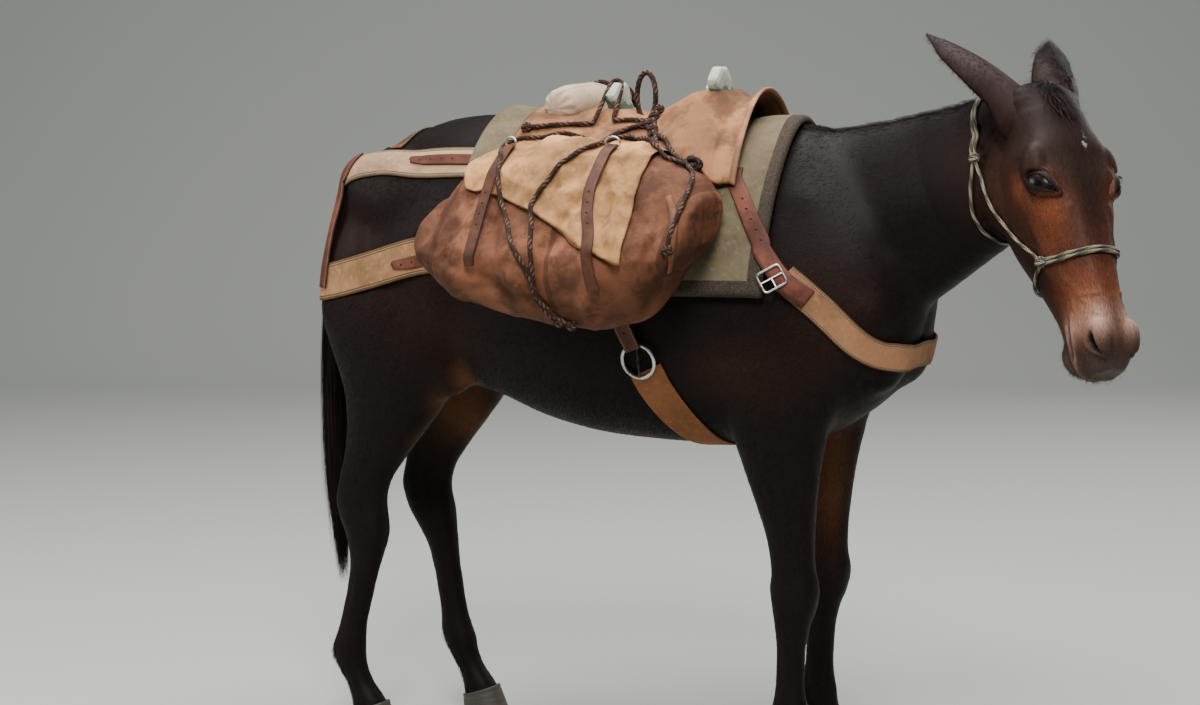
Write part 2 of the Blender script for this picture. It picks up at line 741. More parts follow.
def settled(thing):
    """Applies an object's modifiers to its mesh."""
    graph = bpy.context.evaluated_depsgraph_get()
    mesh = bpy.data.meshes.new_from_object(thing.evaluated_get(graph))
    thing.modifiers.clear()
    thing.data = mesh
    return thing


def points_of(mesh):
    """A mesh's points as one array."""
    co = np.empty(len(mesh.vertices) * 3, np.float32)
    mesh.vertices.foreach_get("co", co)
    return co.reshape(-1, 3).astype(float)


def normals_of(mesh):
    """The normals at a mesh's points as one array."""
    normal = np.empty(len(mesh.vertices) * 3, np.float32)
    mesh.vertex_normals.foreach_get("vector", normal)
    return normal.reshape(-1, 3).astype(float)


def set_points(mesh, points):
    """Moves a mesh's points."""
    mesh.vertices.foreach_set("co", np.ascontiguousarray(points, np.float32).ravel())
    mesh.update()


shift = np.array([WITHERS_X, 0, 0])
grids = [body_rings(TRUNK, 120, 96), body_rings(NECK, 70, 72)]
grids += [ball_points(row, sign) for row in MUSCLES.values() for _, sign in SIDES]
leg_grids = {name: leg_rings(leg_rows(name), stance, side_of(name), 120, 40)
             for name, stance in STANCES.items()}
grids = [grid + shift for grid in grids] + [grid + shift for grid in leg_grids.values()]
head_grids = [from_head(body_rings(HEAD, 90, 72))]
head_grids += [from_head(ball_points(row, sign)) for row in HEAD_LUMPS.values() for _, sign in SIDES]


def forms(grids):
    """Grids as closed meshes."""
    return [mesh_from_grid("form", grid, around=True, caps=True) for grid in grids]


skin = joined("skin", forms(grids + head_grids))
head_form = joined("head_form", forms(head_grids))
HEAD_VOXEL = 0.004
LEG_SMOOTHING = 0.12


def skinned(thing, voxel, passes, group=""):
    """A voxel skin round all closed forms, smoothed by moving points halfway to their neighbours."""
    remesh = thing.modifiers.new("skin", "REMESH")
    remesh.mode = "VOXEL"
    remesh.voxel_size = voxel
    settled(thing)
    if group:
        thing.vertex_groups.new(name=group)
        height = points_of(thing.data)[:, 2]
        for chosen, share in ((height > 0.80, 1.0), (height <= 0.80, LEG_SMOOTHING)):
            thing.vertex_groups[group].add(np.flatnonzero(chosen).tolist(), share, "REPLACE")
    smooth = thing.modifiers.new("smooth", "SMOOTH")
    smooth.factor = 0.5
    smooth.iterations = passes
    smooth.vertex_group = group
    return settled(thing)


skinned(skin, BODY_VOXEL, 22, "body")
skinned(head_form, HEAD_VOXEL, 8)
print("skin", len(skin.data.polygons), "faces, head form", len(head_form.data.polygons))

# %% [markdown]
# ## Finer skin where it counts
# Ten millimetres is enough for a rump and far too coarse for a nostril. The faces of the head are split once
# more, those of the muzzle and round the eyes twice, and the legs below the stifle once. Then the head's
# points are drawn onto a finer skin of the head alone, fading out down the neck.

# %% Split the head, eyes, muzzle and legs
def split_where(thing, wanted):
    """Splits the edges of every face whose centre passes the test into halves."""
    centres = np.empty(len(thing.data.polygons) * 3, np.float32)
    thing.data.polygons.foreach_get("center", centres)
    chosen = np.flatnonzero(wanted(centres.reshape(-1, 3).astype(float)))

    def split(shape):
        shape.faces.ensure_lookup_table()
        edges = {edge for i in chosen for edge in shape.faces[i].edges}
        bmesh.ops.subdivide_edges(shape, edges=list(edges), cuts=1, use_grid_fill=True)
        bmesh.ops.triangulate(shape, faces=[face for face in shape.faces if len(face.verts) > 4])

    reworked([thing.data], split, thing.data)


def near_eye(local, reach):
    """Whether points lie within a reach of either eye."""
    there = local - np.array([EYE_PLACE[0], 0, EYE_PLACE[2]])
    there[:, 1] = np.abs(local[:, 1]) - EYE_PLACE[1]
    return np.linalg.norm(there, axis=1) < reach


def is_head(points):
    """Inside a box in the head's own frame."""
    local = in_head(points)
    return (local[:, 0] > -0.07) & (local[:, 2] > -0.33) & (np.abs(local[:, 1]) < 0.2)


split_where(skin, is_head)
split_where(skin, lambda points: (points[:, 2] < 0.62) & (points[:, 2] > 0.06))
split_where(skin, lambda points: is_head(points) & (in_head(points)[:, 0] > 0.475))
split_where(skin, lambda points: is_head(points) & near_eye(in_head(points), 0.045))
group = skin.vertex_groups.new(name="head")
local = in_head(points_of(skin.data))
fade = np.clip((local[:, 0] + 0.04) / 0.10, 0, 1) * np.clip((local[:, 2] + 0.30) / 0.06, 0, 1)
fade *= np.clip(1 - ((local[:, 0] < 0.16) & (local[:, 2] < -0.20)), 0, 1)
for weight in (1.0, 0.66, 0.33):
    group.add(np.flatnonzero(np.abs(fade - weight) <= 0.17).tolist(), weight, "REPLACE")
draw = skin.modifiers.new("draw", "SHRINKWRAP")
draw.target = head_form
draw.vertex_group = "head"
settled(skin)
bpy.data.objects.remove(head_form)
print("skin now", len(skin.data.polygons), "faces")

# %% [markdown]
# ## Sculpting by hills and hollows
# Bone and muscle under skin read as soft hills. Each is a bell: a height times e to the minus the squared
# distance, measured in its own three half sizes. A sculpting brush would do the same with strokes, but
# strokes can't be read or changed.

# %% Hills and hollows of the head and body
# Head: x, y, z, three half sizes, height. All are made on both sides.
HEAD_HILLS = (
    (0.15, 0.062, -0.004, 0.04, 0.018, 0.016, 0.0045),
    (0.118, 0.066, -0.03, 0.022, 0.02, 0.018, -0.006),
    (0.212, 0.084, -0.046, 0.03, 0.02, 0.008, -0.0035),
    (0.245, 0.074, -0.018, 0.018, 0.018, 0.014, -0.003),
    (0.3, 0.066, -0.078, 0.07, 0.014, 0.009, 0.0035),
    (0.33, 0.06, -0.048, 0.07, 0.016, 0.016, -0.0045),
    (0.33, 0.026, 0.006, 0.11, 0.01, 0.012, 0.0025),
    (0.4, 0.0, 0.004, 0.06, 0.01, 0.02, -0.0015),
    (0.085, 0.0, 0.0, 0.06, 0.006, 0.03, 0.002),
    (0.08, 0.08, -0.11, 0.03, 0.02, 0.06, -0.005),
    (0.205, 0.07, -0.19, 0.018, 0.03, 0.06, -0.003),
    (0.44, 0.048, -0.085, 0.03, 0.016, 0.03, -0.0025),
    (0.505, 0.05, -0.01, 0.026, 0.016, 0.012, 0.003),
    (0.585, 0.02, -0.05, 0.02, 0.02, 0.02, 0.002),
    (0.52, 0.03, -0.15, 0.028, 0.024, 0.012, 0.003),
)
# Body, from the withers: x, y, z, three half sizes, height
BODY_HILLS = (
    (0.05, 0.19, 1.24, 0.018, 0.05, 0.16, -0.006),
    (0.15, 0.18, 1.02, 0.05, 0.06, 0.1, 0.006),
    (0.0, 0.19, 0.93, 0.08, 0.06, 0.03, -0.006),
    (-0.62, 0.23, 1.12, 0.09, 0.08, 0.1, -0.012),
    (-0.7, 0.2, 0.93, 0.03, 0.06, 0.11, -0.007),
    (-0.93, 0.2, 1.18, 0.02, 0.08, 0.15, -0.006),
    (0.33, 0.1, 1.22, 0.09, 0.04, 0.03, -0.007),
    (0.31, 0.0, 1.04, 0.05, 0.018, 0.12, -0.01),
    (0.11, 0.1, 0.8, 0.03, 0.05, 0.06, 0.004),
    (0.1, 0.135, 0.455, 0.03, 0.03, 0.03, 0.0035),
    (0.145, 0.116, 0.48, 0.02, 0.03, 0.03, 0.003),
    (0.058, 0.116, 0.475, 0.012, 0.02, 0.02, 0.006),
    (0.08, 0.135, 0.33, 0.012, 0.02, 0.09, -0.003),
    (0.074, 0.116, 0.215, 0.012, 0.02, 0.016, 0.005),
    (0.15, 0.116, 0.105, 0.03, 0.04, 0.012, 0.003),
)
HIND_HILLS = (
    (-1.05, 0.14, 0.64, 0.014, 0.012, 0.08, -0.007),
    (-1.07, 0.125, 0.56, 0.014, 0.03, 0.03, 0.004),
    (-1.01, 0.15, 0.52, 0.02, 0.02, 0.03, 0.0035),
    (-1.045, 0.14, 0.35, 0.01, 0.02, 0.09, -0.003),
    (-1.058, 0.125, 0.22, 0.012, 0.02, 0.016, 0.005),
)


def lump(points, centre, size):
    """A bell of the distance from a centre, in its own three half sizes."""
    return np.exp(-(((points - centre) / size) ** 2).sum(axis=1))


def one_side(points):
    """Points with both sides laid on the left one."""
    return points * [1, 0, 1] + np.abs(points) * [0, 1, 0]


def hills(points, rows):
    """Sum of bells, mirrored in y."""
    total = np.zeros(len(points))
    for row in np.array(rows):
        total += row[6] * lump(one_side(points), row[:3], row[3:6])
    return total


def from_stance(points):
    """Points with each leg's stance taken out, so that both legs of a pair share one set of hills."""
    fore = points[:, 0] > -0.4
    left = points[:, 1] > 0
    moved = points.copy()
    for name, (middle, foot) in STANCES.items():
        mine = (fore == name.startswith("fore")) & (left == name.endswith("left"))
        moved[mine, 0] -= np.interp(points[mine, 2], (0.2, 0.5, 1.0), (foot, middle, 0))
    return moved


def smooth_step(value, low, high):
    """0 below low, 1 above high; between them 3 t squared less 2 t cubed."""
    t = np.clip((value - low) / (high - low), 0, 1)
    return t * t * (3 - 2 * t)


print("hills", len(HEAD_HILLS), len(BODY_HILLS) + len(HIND_HILLS))

# %% Mouth, nostrils and eye sockets
NOSTRIL = (0.541, 0.050, -0.028, 0.021, 0.020, 0.008, 40)
NOSTRIL_CURVE = 8.0
NOSTRIL_LEAN = -6
MOUTH_CORNER = (0.455, -0.090)
MOUTH_SLOPE = -0.16
VEINS = (
    ((0.392, -0.058), (0.41, -0.045), (0.426, -0.041), (0.447, -0.033), (0.463, -0.021), (0.484, -0.016)),
    ((0.41, -0.045), (0.43, -0.06), (0.452, -0.064)),
    ((0.426, -0.041), (0.44, -0.02), (0.444, -0.004)),
    ((0.267, -0.032), (0.29, -0.044), (0.313, -0.048), (0.356, -0.054), (0.385, -0.066)),
    ((0.265, 0.006), (0.29, -0.002), (0.314, -0.002), (0.345, -0.01), (0.377, -0.013)),
)
EYE_TILT = math.radians(-48)
EYE_FACING = (0.10, 1.0, 0.55)
EYE_HALF = (0.037, 0.027, 0.0245)
EYE_SHIFT = 0.0055


def eye_frame():
    """The eye's three directions: along the slit to the nose, up across it, and outwards."""
    outward = unit(np.array(EYE_FACING))
    tip = np.array([math.cos(EYE_TILT), 0, -math.sin(EYE_TILT)])
    tip = unit(tip - outward * tip.dot(outward))
    top = np.cross(outward, tip)
    return tip, top if top[2] > 0 else -top, outward


EYE_TIP, EYE_TOP, EYE_OUT = eye_frame()
EYE_CENTRE = np.array(EYE_PLACE) + EYE_SHIFT * EYE_TIP


def nostril_shape(local):
    """How far each point is from the nostril's comma, in its own half sizes, and a fade to its own side."""
    x, y, z, long, _, narrow, _ = NOSTRIL
    turn = math.radians(NOSTRIL_LEAN)
    across, up = local[:, 0] - x + 0.003, local[:, 2] - z + 0.005
    along = across * math.cos(turn) - up * math.sin(turn)
    over = across * math.sin(turn) + up * math.cos(turn) - NOSTRIL_CURVE * along**2
    beside = smooth_step(np.abs(local[:, 1]), y - 0.040, y - 0.026)
    wide = narrow * (1.35 - 0.55 * np.clip(along / long, -1, 1))
    return np.hypot(along / (long * 1.15), over / wide), beside


def vein_height(local):
    """Soft ridges along the veins, seen from the side: a bell of the distance to each short line."""
    spot = local[:, [0, 2]]
    height = np.zeros(len(local))
    for line in VEINS:
        for start, end in zip(np.array(line[:-1]), np.array(line[1:])):
            way = end - start
            share = np.clip(((spot - start) @ way) / (way @ way), 0, 1)
            away = np.linalg.norm(spot - start - share[:, None] * way, axis=1)
            height = np.maximum(height, bell(away / 0.0030))
    return height * smooth_step(np.abs(local[:, 1]), 0.012, 0.028)


def mouth_gap(local):
    """Distance above the line of the lips, and how far the line is open there."""
    line = MOUTH_CORNER[1] + MOUTH_SLOPE * (local[:, 0] - MOUTH_CORNER[0])
    opened = smooth_step(local[:, 0], MOUTH_CORNER[0] - 0.004, MOUTH_CORNER[0] + 0.022)
    return local[:, 2] - line, opened


def sculpted(points):
    """The height that each skin point moves out along its normal."""
    local = in_head(points)
    head = smooth_step(local[:, 0], -0.06, 0.0) * is_head(points)
    height = head * hills(local, HEAD_HILLS)
    gap, beside = nostril_shape(local)
    height += head * beside * (0.0026 * bell((gap - 1.5) / 0.50) - 0.020 * (1 - smooth_step(gap, 0.5, 1.1)))
    over, opened = mouth_gap(local)
    height += head * opened * 0.0025 * bell((np.abs(over) - 0.010) / 0.006)
    height -= head * opened * 0.0110 * bell(over / 0.0042)
    height += head * 0.0026 * vein_height(local)
    eye = one_side(local) - EYE_CENTRE
    socket = np.hypot(eye @ EYE_TIP / 0.036, eye @ EYE_TOP / 0.023)
    near = (np.abs(eye @ EYE_OUT) < 0.045) & (eye[:, 1] > -0.05)
    height -= head * near * 0.022 * (1 - smooth_step(socket, 0.60, 1.12))
    body = from_stance(points - shift)
    away = 1 - head
    height += away * hills(body, BODY_HILLS) + away * hills(body, HIND_HILLS)
    return height - COAT_DEPTH * (1 - 0.6 * head)


points, normals = points_of(skin.data), normals_of(skin.data)
set_points(skin.data, points + normals * sculpted(points)[:, None])
points = points_of(skin.data)
print("skin between", np.round(points.min(axis=0), 3), np.round(points.max(axis=0), 3))

# %% [markdown]
# ## Lids
# A lid is a rolled edge lying on the eyeball. It is a closed strip round the opening: one parameter goes
# round the almond, the other from the edge on the ball, over the roll and back under the skin. Cut into the
# skin by hand it would need far more faces round it.

# %% Lids round both eyes
LID_AROUND = 120
LID_ACROSS = 18
EYE_LONG = 0.0270
EYE_TALL = (0.0145, 0.0085)


def lid_points(sign, tree):
    """Almond edge on the ball, a roll that swells by a bell, a crease, a skirt that runs into the head's own
    surface. The almond is longer and sharper towards the nose, where the tear duct is."""
    turn = turns(LID_AROUND)[None, :]
    out = np.linspace(0, 1, LID_ACROSS)[:, None]
    upper = smooth_step(np.sin(turn), -0.3, 0.3)
    tall = EYE_TALL[1] + (EYE_TALL[0] - EYE_TALL[1]) * upper
    duct = 0.0085 * smooth_step(np.cos(turn), 0.70, 1.0)
    x = (EYE_LONG * np.cos(turn) + duct) * (1 + 0.62 * out)
    z = tall * sgn_pow(np.sin(turn), 1.25) * (1 + 1.25 * out) + 0.009 * np.sin(turn) * out
    wide = np.minimum(np.hypot(x / EYE_HALF[0], z / EYE_HALF[1]), 0.94)
    ball = EYE_HALF[2] * np.sqrt(1 - wide**2) + 0.0006
    roll = (0.0008 + 0.0014 * upper) * bell((out - 0.16) / 0.13)
    level = ball[:1] + (ball - ball[:1]) * 0.5 + roll - 0.0016 * (0.3 + upper) * bell((out - 0.42) / 0.08)
    spot = EYE_CENTRE + x[:, :, None] * EYE_TIP + z[:, :, None] * EYE_TOP + level[:, :, None] * EYE_OUT
    spot = from_head(spot * [1, sign, 1])
    place, outside = pressed(spot, tree)
    sunk = place - outside * 0.0025 * smooth_step(out, 0.85, 1.0)[:, :, None]
    return spot + (sunk - spot) * smooth_step(out, 0.37, 0.92)[:, :, None]


# %% [markdown]
# ## Ears
# A mule's ear is a deep funnel at its root that opens into a long leaf. Each cross-cut is an arc whose half
# width and curl come from the same short table as the solids, with a thin wall: out over the back of the ear,
# round the edge, and back inside.

# %% The two ears
EAR = (
    (0.0, 0.02, 2.4),
    (0.14, 0.026, 2.1),
    (0.3, 0.037, 1.5),
    (0.46, 0.042, 1.25),
    (0.64, 0.038, 1.05),
    (0.8, 0.028, 0.95),
    (0.92, 0.014, 0.85),
    (1.0, 0.003, 0.8),
)
EAR_ROOT = (0.040, 0.030, -0.030)
EAR_WAY = (-0.82, 0.377, -0.432)
EAR_TURN = (0.40, 0.0, -0.90)
EAR_LENGTH = 0.310


def ear_points(sign, rows=72, columns=56):
    """Arcs of the table's half width and curl, closed into a thin wall that thins to the edge."""
    t = np.linspace(0, 1, rows)
    half, curl = (np.interp(t, [row[0] for row in EAR], [row[i] for row in EAR]) for i in (1, 2))
    half = half * (1.18 + 0.75 * bell((t - 0.13) / 0.13)) * smooth_step(t, -0.06, 0.09)
    kernel = np.hanning(9) / np.hanning(9).sum()
    half[4:-4], curl[4:-4] = np.convolve(half, kernel, "valid"), np.convolve(curl, kernel, "valid")
    root = from_head(np.array(EAR_ROOT) * [1, sign, 1])
    way = unit(HEAD_TURN @ (np.array(EAR_WAY) * [1, sign, 1]))
    facing = HEAD_TURN @ (np.array(EAR_TURN) * [1, sign, 1])
    facing = unit(facing - way * facing.dot(way))
    side = np.cross(way, facing)
    height, bow = EAR_LENGTH * t - 0.026 * (1 - t), 0.018 * np.sin(np.pi * t)
    middle = root + way * height[:, None] - facing * bow[:, None]
    lap = turns(columns)[None, :]
    s = np.sin(lap)
    angle = s * curl[:, None]
    arc = (half / np.maximum(np.sin(np.minimum(curl, np.pi / 2)), 0.3))[:, None]
    out = side * np.sin(angle)[..., None] - facing * np.cos(angle)[..., None]
    thick = (np.where(t < 0.9, 0.0034, 0.002)[:, None] * (1.1 - 0.8 * np.abs(s))) * np.cos(lap)
    ripple = 0.0006 * np.sin(26 * t)[:, None] * np.abs(s) ** 3
    wide, deep = arc * np.sin(angle), arc * (1 - np.cos(angle))
    spot = middle[:, None] + side * wide[..., None] + facing * deep[..., None]
    return spot + out * (thick + ripple)[..., None]


extras = []
bare_tree = tree_of([skin])
for _, sign in SIDES:
    extras.append(mesh_from_grid("ear", ear_points(sign), around=True, caps=True))
    extras.append(mesh_from_grid("lid", lid_points(sign, bare_tree), around=True))
print("ears and lids", [len(mesh.polygons) for mesh in extras])

# %% [markdown]
# ## Markings
# A bay-black mule fades to rust round the eyes and to tan inside the legs and on the muzzle. Each marking is
# a bell of colour laid over the last. They are worked out from a point's place, so that skin and hair take
# the same colour from one function; painting them would leave the two to drift apart.

# %% Colours of the coat
COLOURS = {
    "black": (0.0078, 0.005, 0.0043),
    "dark": (0.0165, 0.0085, 0.0064),
    "flank": (0.15, 0.058, 0.022),
    "brown": (0.048, 0.0185, 0.0105),
    "rust": (0.165, 0.047, 0.019),
    "tan": (0.27, 0.12, 0.055),
    "pale": (0.35, 0.215, 0.17),
    "nose": (0.08, 0.052, 0.045),
    "ear": (0.024, 0.01, 0.008),
    "lid": (0.01, 0.0065, 0.006),
    "pit": (0.004, 0.003, 0.003),
}
# In the head's frame: colour, place, three half sizes, strength
HEAD_MARKINGS = (
    ("brown", (0.230, 0.080, -0.120), (0.150, 0.050, 0.080), 0.9),
    ("brown", (0.330, 0.030, -0.020), (0.120, 0.070, 0.070), 0.9),
    ("rust", (0.250, 0.075, -0.020), (0.060, 0.035, 0.034), 0.9),
    ("rust", (0.195, 0.090, -0.070), (0.034, 0.030, 0.022), 0.65),
    ("rust", (0.300, 0.070, -0.050), (0.080, 0.030, 0.034), 0.55),
    ("rust", (0.440, 0.040, -0.035), (0.080, 0.060, 0.080), 0.72),
    ("tan", (0.465, 0.050, -0.050), (0.034, 0.040, 0.050), 0.45),
    ("pale", (0.498, 0.040, -0.005), (0.036, 0.034, 0.036), 0.80),
    ("pale", (0.485, 0.055, -0.080), (0.026, 0.030, 0.030), 0.60),
    ("nose", (0.600, 0.000, -0.060), (0.045, 0.080, 0.075), 1.0),
    ("nose", (0.550, 0.020, -0.140), (0.040, 0.060, 0.030), 0.8),
    ("dark", (0.060, 0.000, -0.010), (0.110, 0.075, 0.050), 0.95),
    ("dark", (0.210, 0.000, 0.010), (0.130, 0.026, 0.040), 0.85),
    ("dark", (0.150, 0.095, -0.030), (0.035, 0.030, 0.030), 0.6),
    ("lid", tuple(EYE_CENTRE), (0.027, 0.060, 0.023), 0.97),
)
# From the withers, with the stances taken out
BODY_MARKINGS = (
    ("flank", (-0.705, 0.172, 0.89), (0.024, 0.05, 0.04), 0.8),
    ("flank", (-0.77, 0.145, 0.812), (0.034, 0.045, 0.05), 0.75),
    ("flank", (-0.87, 0.095, 0.73), (0.05, 0.045, 0.06), 0.6),
    ("flank", (-0.87, 0.03, 0.79), (0.11, 0.06, 0.11), 0.75),
    ("flank", (0.13, 0.06, 0.7), (0.06, 0.04, 0.13), 0.8),
    ("tan", (-0.35, 0.0, 0.76), (0.3, 0.12, 0.03), 0.2),
    ("brown", (0.18, 0.17, 1.08), (0.12, 0.05, 0.12), 0.35),
    ("brown", (-0.7, 0.22, 1.03), (0.14, 0.06, 0.14), 0.35),
    ("brown", (-0.95, 0.19, 1.15), (0.12, 0.06, 0.16), 0.25),
    ("brown", (0.0, 0.2, 0.95), (0.12, 0.06, 0.07), 0.4),
)


def marked(points, colour, markings):
    """Lays each bell of colour over the last, mirrored in y."""
    for name, place, size, strength in markings:
        share = strength * lump(one_side(points), place, size)[:, None]
        colour = colour + (np.array(COLOURS[name]) - colour) * share
    return colour


def head_share(local):
    """1 on the face, falling to 0 over the poll and down the throat."""
    share = smooth_step(local[:, 0], -0.10, 0.05) * smooth_step(local[:, 2], -0.34, -0.22)
    return share * smooth_step(np.abs(local[:, 1]), 0.24, 0.13)


def coat_colour(points):
    """The coat's colour at world points."""
    local = in_head(points)
    head = head_share(local)[:, None]
    body = from_stance(points - shift)
    colour = marked(body, np.tile(COLOURS["black"], (len(points), 1)), BODY_MARKINGS)
    face = marked(local, np.tile(COLOURS["dark"], (len(points), 1)), HEAD_MARKINGS)
    gap, beside = nostril_shape(local)
    over, opened = mouth_gap(local)
    lips = (opened * bell((np.abs(over) - 0.010) / 0.005) * 0.45 * (local[:, 0] > 0.3))[:, None]
    face = face + (np.array(COLOURS["pale"]) * 0.7 - face) * lips
    pit = np.maximum(beside * (1 - smooth_step(gap, 0.75, 1.10)), opened * bell(over / 0.0042))
    face = face + (np.array(COLOURS["pit"]) - face) * (pit * (local[:, 0] > 0.3))[:, None]
    return colour + (face - colour) * head


def ear_share(points):
    """1 on the ears' leaves, 0 on the skull, from the way along the ear."""
    local = one_side(in_head(points))
    along = (local - np.array(EAR_ROOT)) @ unit(np.array(EAR_WAY))
    return smooth_step(along, 0.01, 0.05) * (local[:, 0] < 0.05) * (local[:, 2] < 0.0)


print("markings", len(HEAD_MARKINGS), len(BODY_MARKINGS))

# %% [markdown]
# ## One skin
# The lids and ears join the skin, so that the export and the eye see one animal. The skin keeps three things
# on its points: its colour, the way its hair flows, and a map of its own shape for baking the colours.

# %% Join the skin and mark its points
def unwrap(points):
    """A map of the body: degrees round the trunk against its length, with the head, and each leg below the
    elbow, on strips of their own beside it. One unit is about two metres."""
    body = points - shift
    local = in_head(points)
    u = 0.5 + np.arctan2(body[:, 1], body[:, 2] - 1.10) / (2 * np.pi) * 0.44
    v = 0.50 + (body[:, 0] + 1.15) / 1.9 * 0.45
    head = is_head(points) & (local[:, 0] > -0.06)
    u = np.where(head, 0.86 + np.arctan2(local[:, 1], local[:, 2] + 0.07) / (2 * np.pi) * 0.24, u)
    v = np.where(head, 0.60 + (local[:, 0] + 0.10) / 0.75 * 0.35, v)
    low = (body[:, 2] < 0.72) & ~head
    fore, left = body[:, 0] > -0.4, body[:, 1] > 0
    centre = np.where(fore, 0.11, -1.0)
    strip = 0.12 + 0.24 * (fore * 2 + left)
    u = np.where(low, strip + np.arctan2(np.abs(body[:, 1]) - 0.12,
                                         body[:, 0] - centre) / (2 * np.pi) * 0.20, u)
    v = np.where(low, 0.02 + body[:, 2] * 0.55, v)
    return np.stack([np.clip(u, 0.002, 0.998), np.clip(v, 0.002, 0.998)], axis=1)


def flow_of(points):
    """A place read along and across the hair: along the body and neck, down the legs, down the face."""
    local, body = in_head(points), points - shift
    leg = smooth_step(body[:, 2], 0.95, 0.70)[:, None]
    head = head_share(local)[:, None]
    trunk = np.stack([body[:, 0] + 0.6 * body[:, 2], body[:, 1], body[:, 2] - 0.4 * body[:, 0]], axis=1)
    shank = np.stack([body[:, 2], body[:, 1], body[:, 0]], axis=1)
    return (trunk + (shank - trunk) * leg) * (1 - head) + local * head


def mark_points(mesh, name, values):
    """Keeps a vector on each point under a name."""
    layer = mesh.attributes.new(name, "FLOAT_VECTOR", "POINT")
    layer.data.foreach_set("vector", np.ascontiguousarray(values, np.float32).ravel())


def add_map(mesh, corners):
    """Lays the skin's map on the corners."""
    layer = mesh.uv_layers.new(name="OFBake")
    layer.data.foreach_set("uv", np.ascontiguousarray(corners, np.float32).ravel())


def corner_points(mesh):
    """The point under each corner."""
    index = np.empty(len(mesh.loops), np.int32)
    mesh.loops.foreach_get("vertex_index", index)
    return index


for mesh in extras:
    reworked([mesh], outwards, mesh)
reworked([skin.data, *extras], lambda shape: None, skin.data)
skin.data.polygons.foreach_set("use_smooth", [True] * len(skin.data.polygons))
points = points_of(skin.data)
ears_start = len(points) - sum(len(mesh.vertices) for mesh in extras)
colour = coat_colour(points)
is_ear, is_rim = np.zeros((2, len(points)))
at = ears_start
rim = np.repeat(1 - smooth_step(np.linspace(0, 1, LID_ACROSS), 0.20, 0.60), LID_AROUND)
ear_edge = smooth_step(np.abs(np.sin(turns(56))), 0.80, 0.98)[None, :]
ear_edge = np.maximum(ear_edge, smooth_step(np.linspace(0, 1, 72), 0.75, 1.0)[:, None]).ravel() * 0.8
for mesh in extras:
    end = at + len(mesh.vertices)
    if mesh.name.startswith("ear"):
        is_ear[at:end] = 1
        is_rim[at : at + ear_edge.size] = ear_edge
    else:
        is_rim[at:end] = rim
    at = end
colour = colour + (np.array(COLOURS["ear"]) - colour) * (ear_share(points) * is_ear)[:, None]
colour = colour + (np.array(COLOURS["lid"]) - colour) * is_rim[:, None]
mark_points(skin.data, "coat", colour)
mark_points(skin.data, "flow", flow_of(points))
add_map(skin.data, unwrap(points)[corner_points(skin.data)])
print("whole skin", len(skin.data.polygons), "faces")

# %% [markdown]
# ## The coat's surface
# Short hair that lies flat is colour streaks and bump along the flow, with a gloss that the hair's own
# direction breaks up. Real hairs over the whole hide would be millions of faces and look the same from here.

# %% Coat material
def coat_finish(name, rough=0.46):
    """The point colour, streaked along the flow, with fine bump."""
    finish = Finish(name, rough, 0.08)
    flow = finish.kept("flow")
    hair = finish.noise(1.0, 3.0, 0.6, finish.scaled(flow, (75.0, 650.0, 650.0)))
    patch = finish.noise(1.0, 4.0, 0.6, finish.scaled(flow, (9.0, 30.0, 30.0)))
    pale = hair.rise(0.38, 0.72) * 0.75 + patch * 0.55 + 0.42
    finish.colour(finish.vector("SCALE", {0: finish.kept("coat"), "Scale": pale}))
    finish.rough(rough + hair * 0.22 + patch * 0.10 - 0.12)
    finish.bump(hair * 0.7 + patch * 0.5, 0.0012, 0.55)
    return finish.material


skin.data.materials.append(coat_finish("coat"))
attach(skin, "root")
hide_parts("torso", "neck", "head", *STANCES, "ear_right", "ear_left")
print("coat", [round(float(value), 3) for value in colour.mean(axis=0)])

# %% [markdown]
# ## Eyes
# The ball is one glossy ellipsoid. The level pupil, the brown iris round it and the dark rim are rings of
# distance worked out on its own place, squashed for the pupil. A second clear shell would add a cornea that
# nobody sees at this size.

# %% Two eyes
def eye_finish(name, centre, tip, top):
    """Dark brown iris with a level, darker pupil; a dark rim where the white would be."""
    finish = Finish(name, 0.24, 0.12, Coat_Weight=0.06, Coat_Roughness=0.05)
    away = finish.vector("SUBTRACT", {0: finish.place(), 1: tuple(centre)})
    across, over = (finish.vector("DOT_PRODUCT", {0: away, 1: tuple(way)}, "Value") for way in (tip, top))
    pupil = ((across * 80) ** 2 + (over * 170) ** 2).rise(0.7, 1.25)
    iris = ((across * 46) ** 2 + (over * 52) ** 2).rise(0.75, 1.1)
    brown = finish.mix(finish.noise(420, 3), (0.009, 0.0045, 0.0035), (0.024, 0.012, 0.008))
    finish.colour(finish.mix(iris, finish.mix(pupil, (0.002, 0.0025, 0.004), brown), (0.008, 0.0055, 0.005)))
    return finish.material


for side, sign in SIDES:
    centre = from_head(EYE_CENTRE * [1, sign, 1])
    axes = [HEAD_TURN @ (axis * [1, sign, 1]) for axis in (EYE_TIP, EYE_TOP, EYE_OUT)]
    ball = ball_points((0, 0, 0, 1, 1, 1, 0), 1, 64, 40) * EYE_HALF @ np.array(axes) + centre
    mesh = mesh_from_grid("eyeball_" + side, ball, around=True, caps=True)
    dress(mesh, eye_finish("eye_" + side, centre, *axes[:2]), ["eye_" + side])
print("eyes", np.round(centre, 3).tolist())

# %% [markdown]
# ## Hooves
# A mule's hoof is narrow and upright. Its wall is the coronet's ring let out to the sole's size, with fine
# growth rings running round it, so each hoof is one grid and the rings are small waves in it.

# %% Four hooves
CORONET_HEIGHT = 0.078
CORONET_SLOPE = 0.35
HOOF_SIZE = np.array([0.128, 0.106])
HOOF_REACH = 0.022
HOOF_ROWS = 40


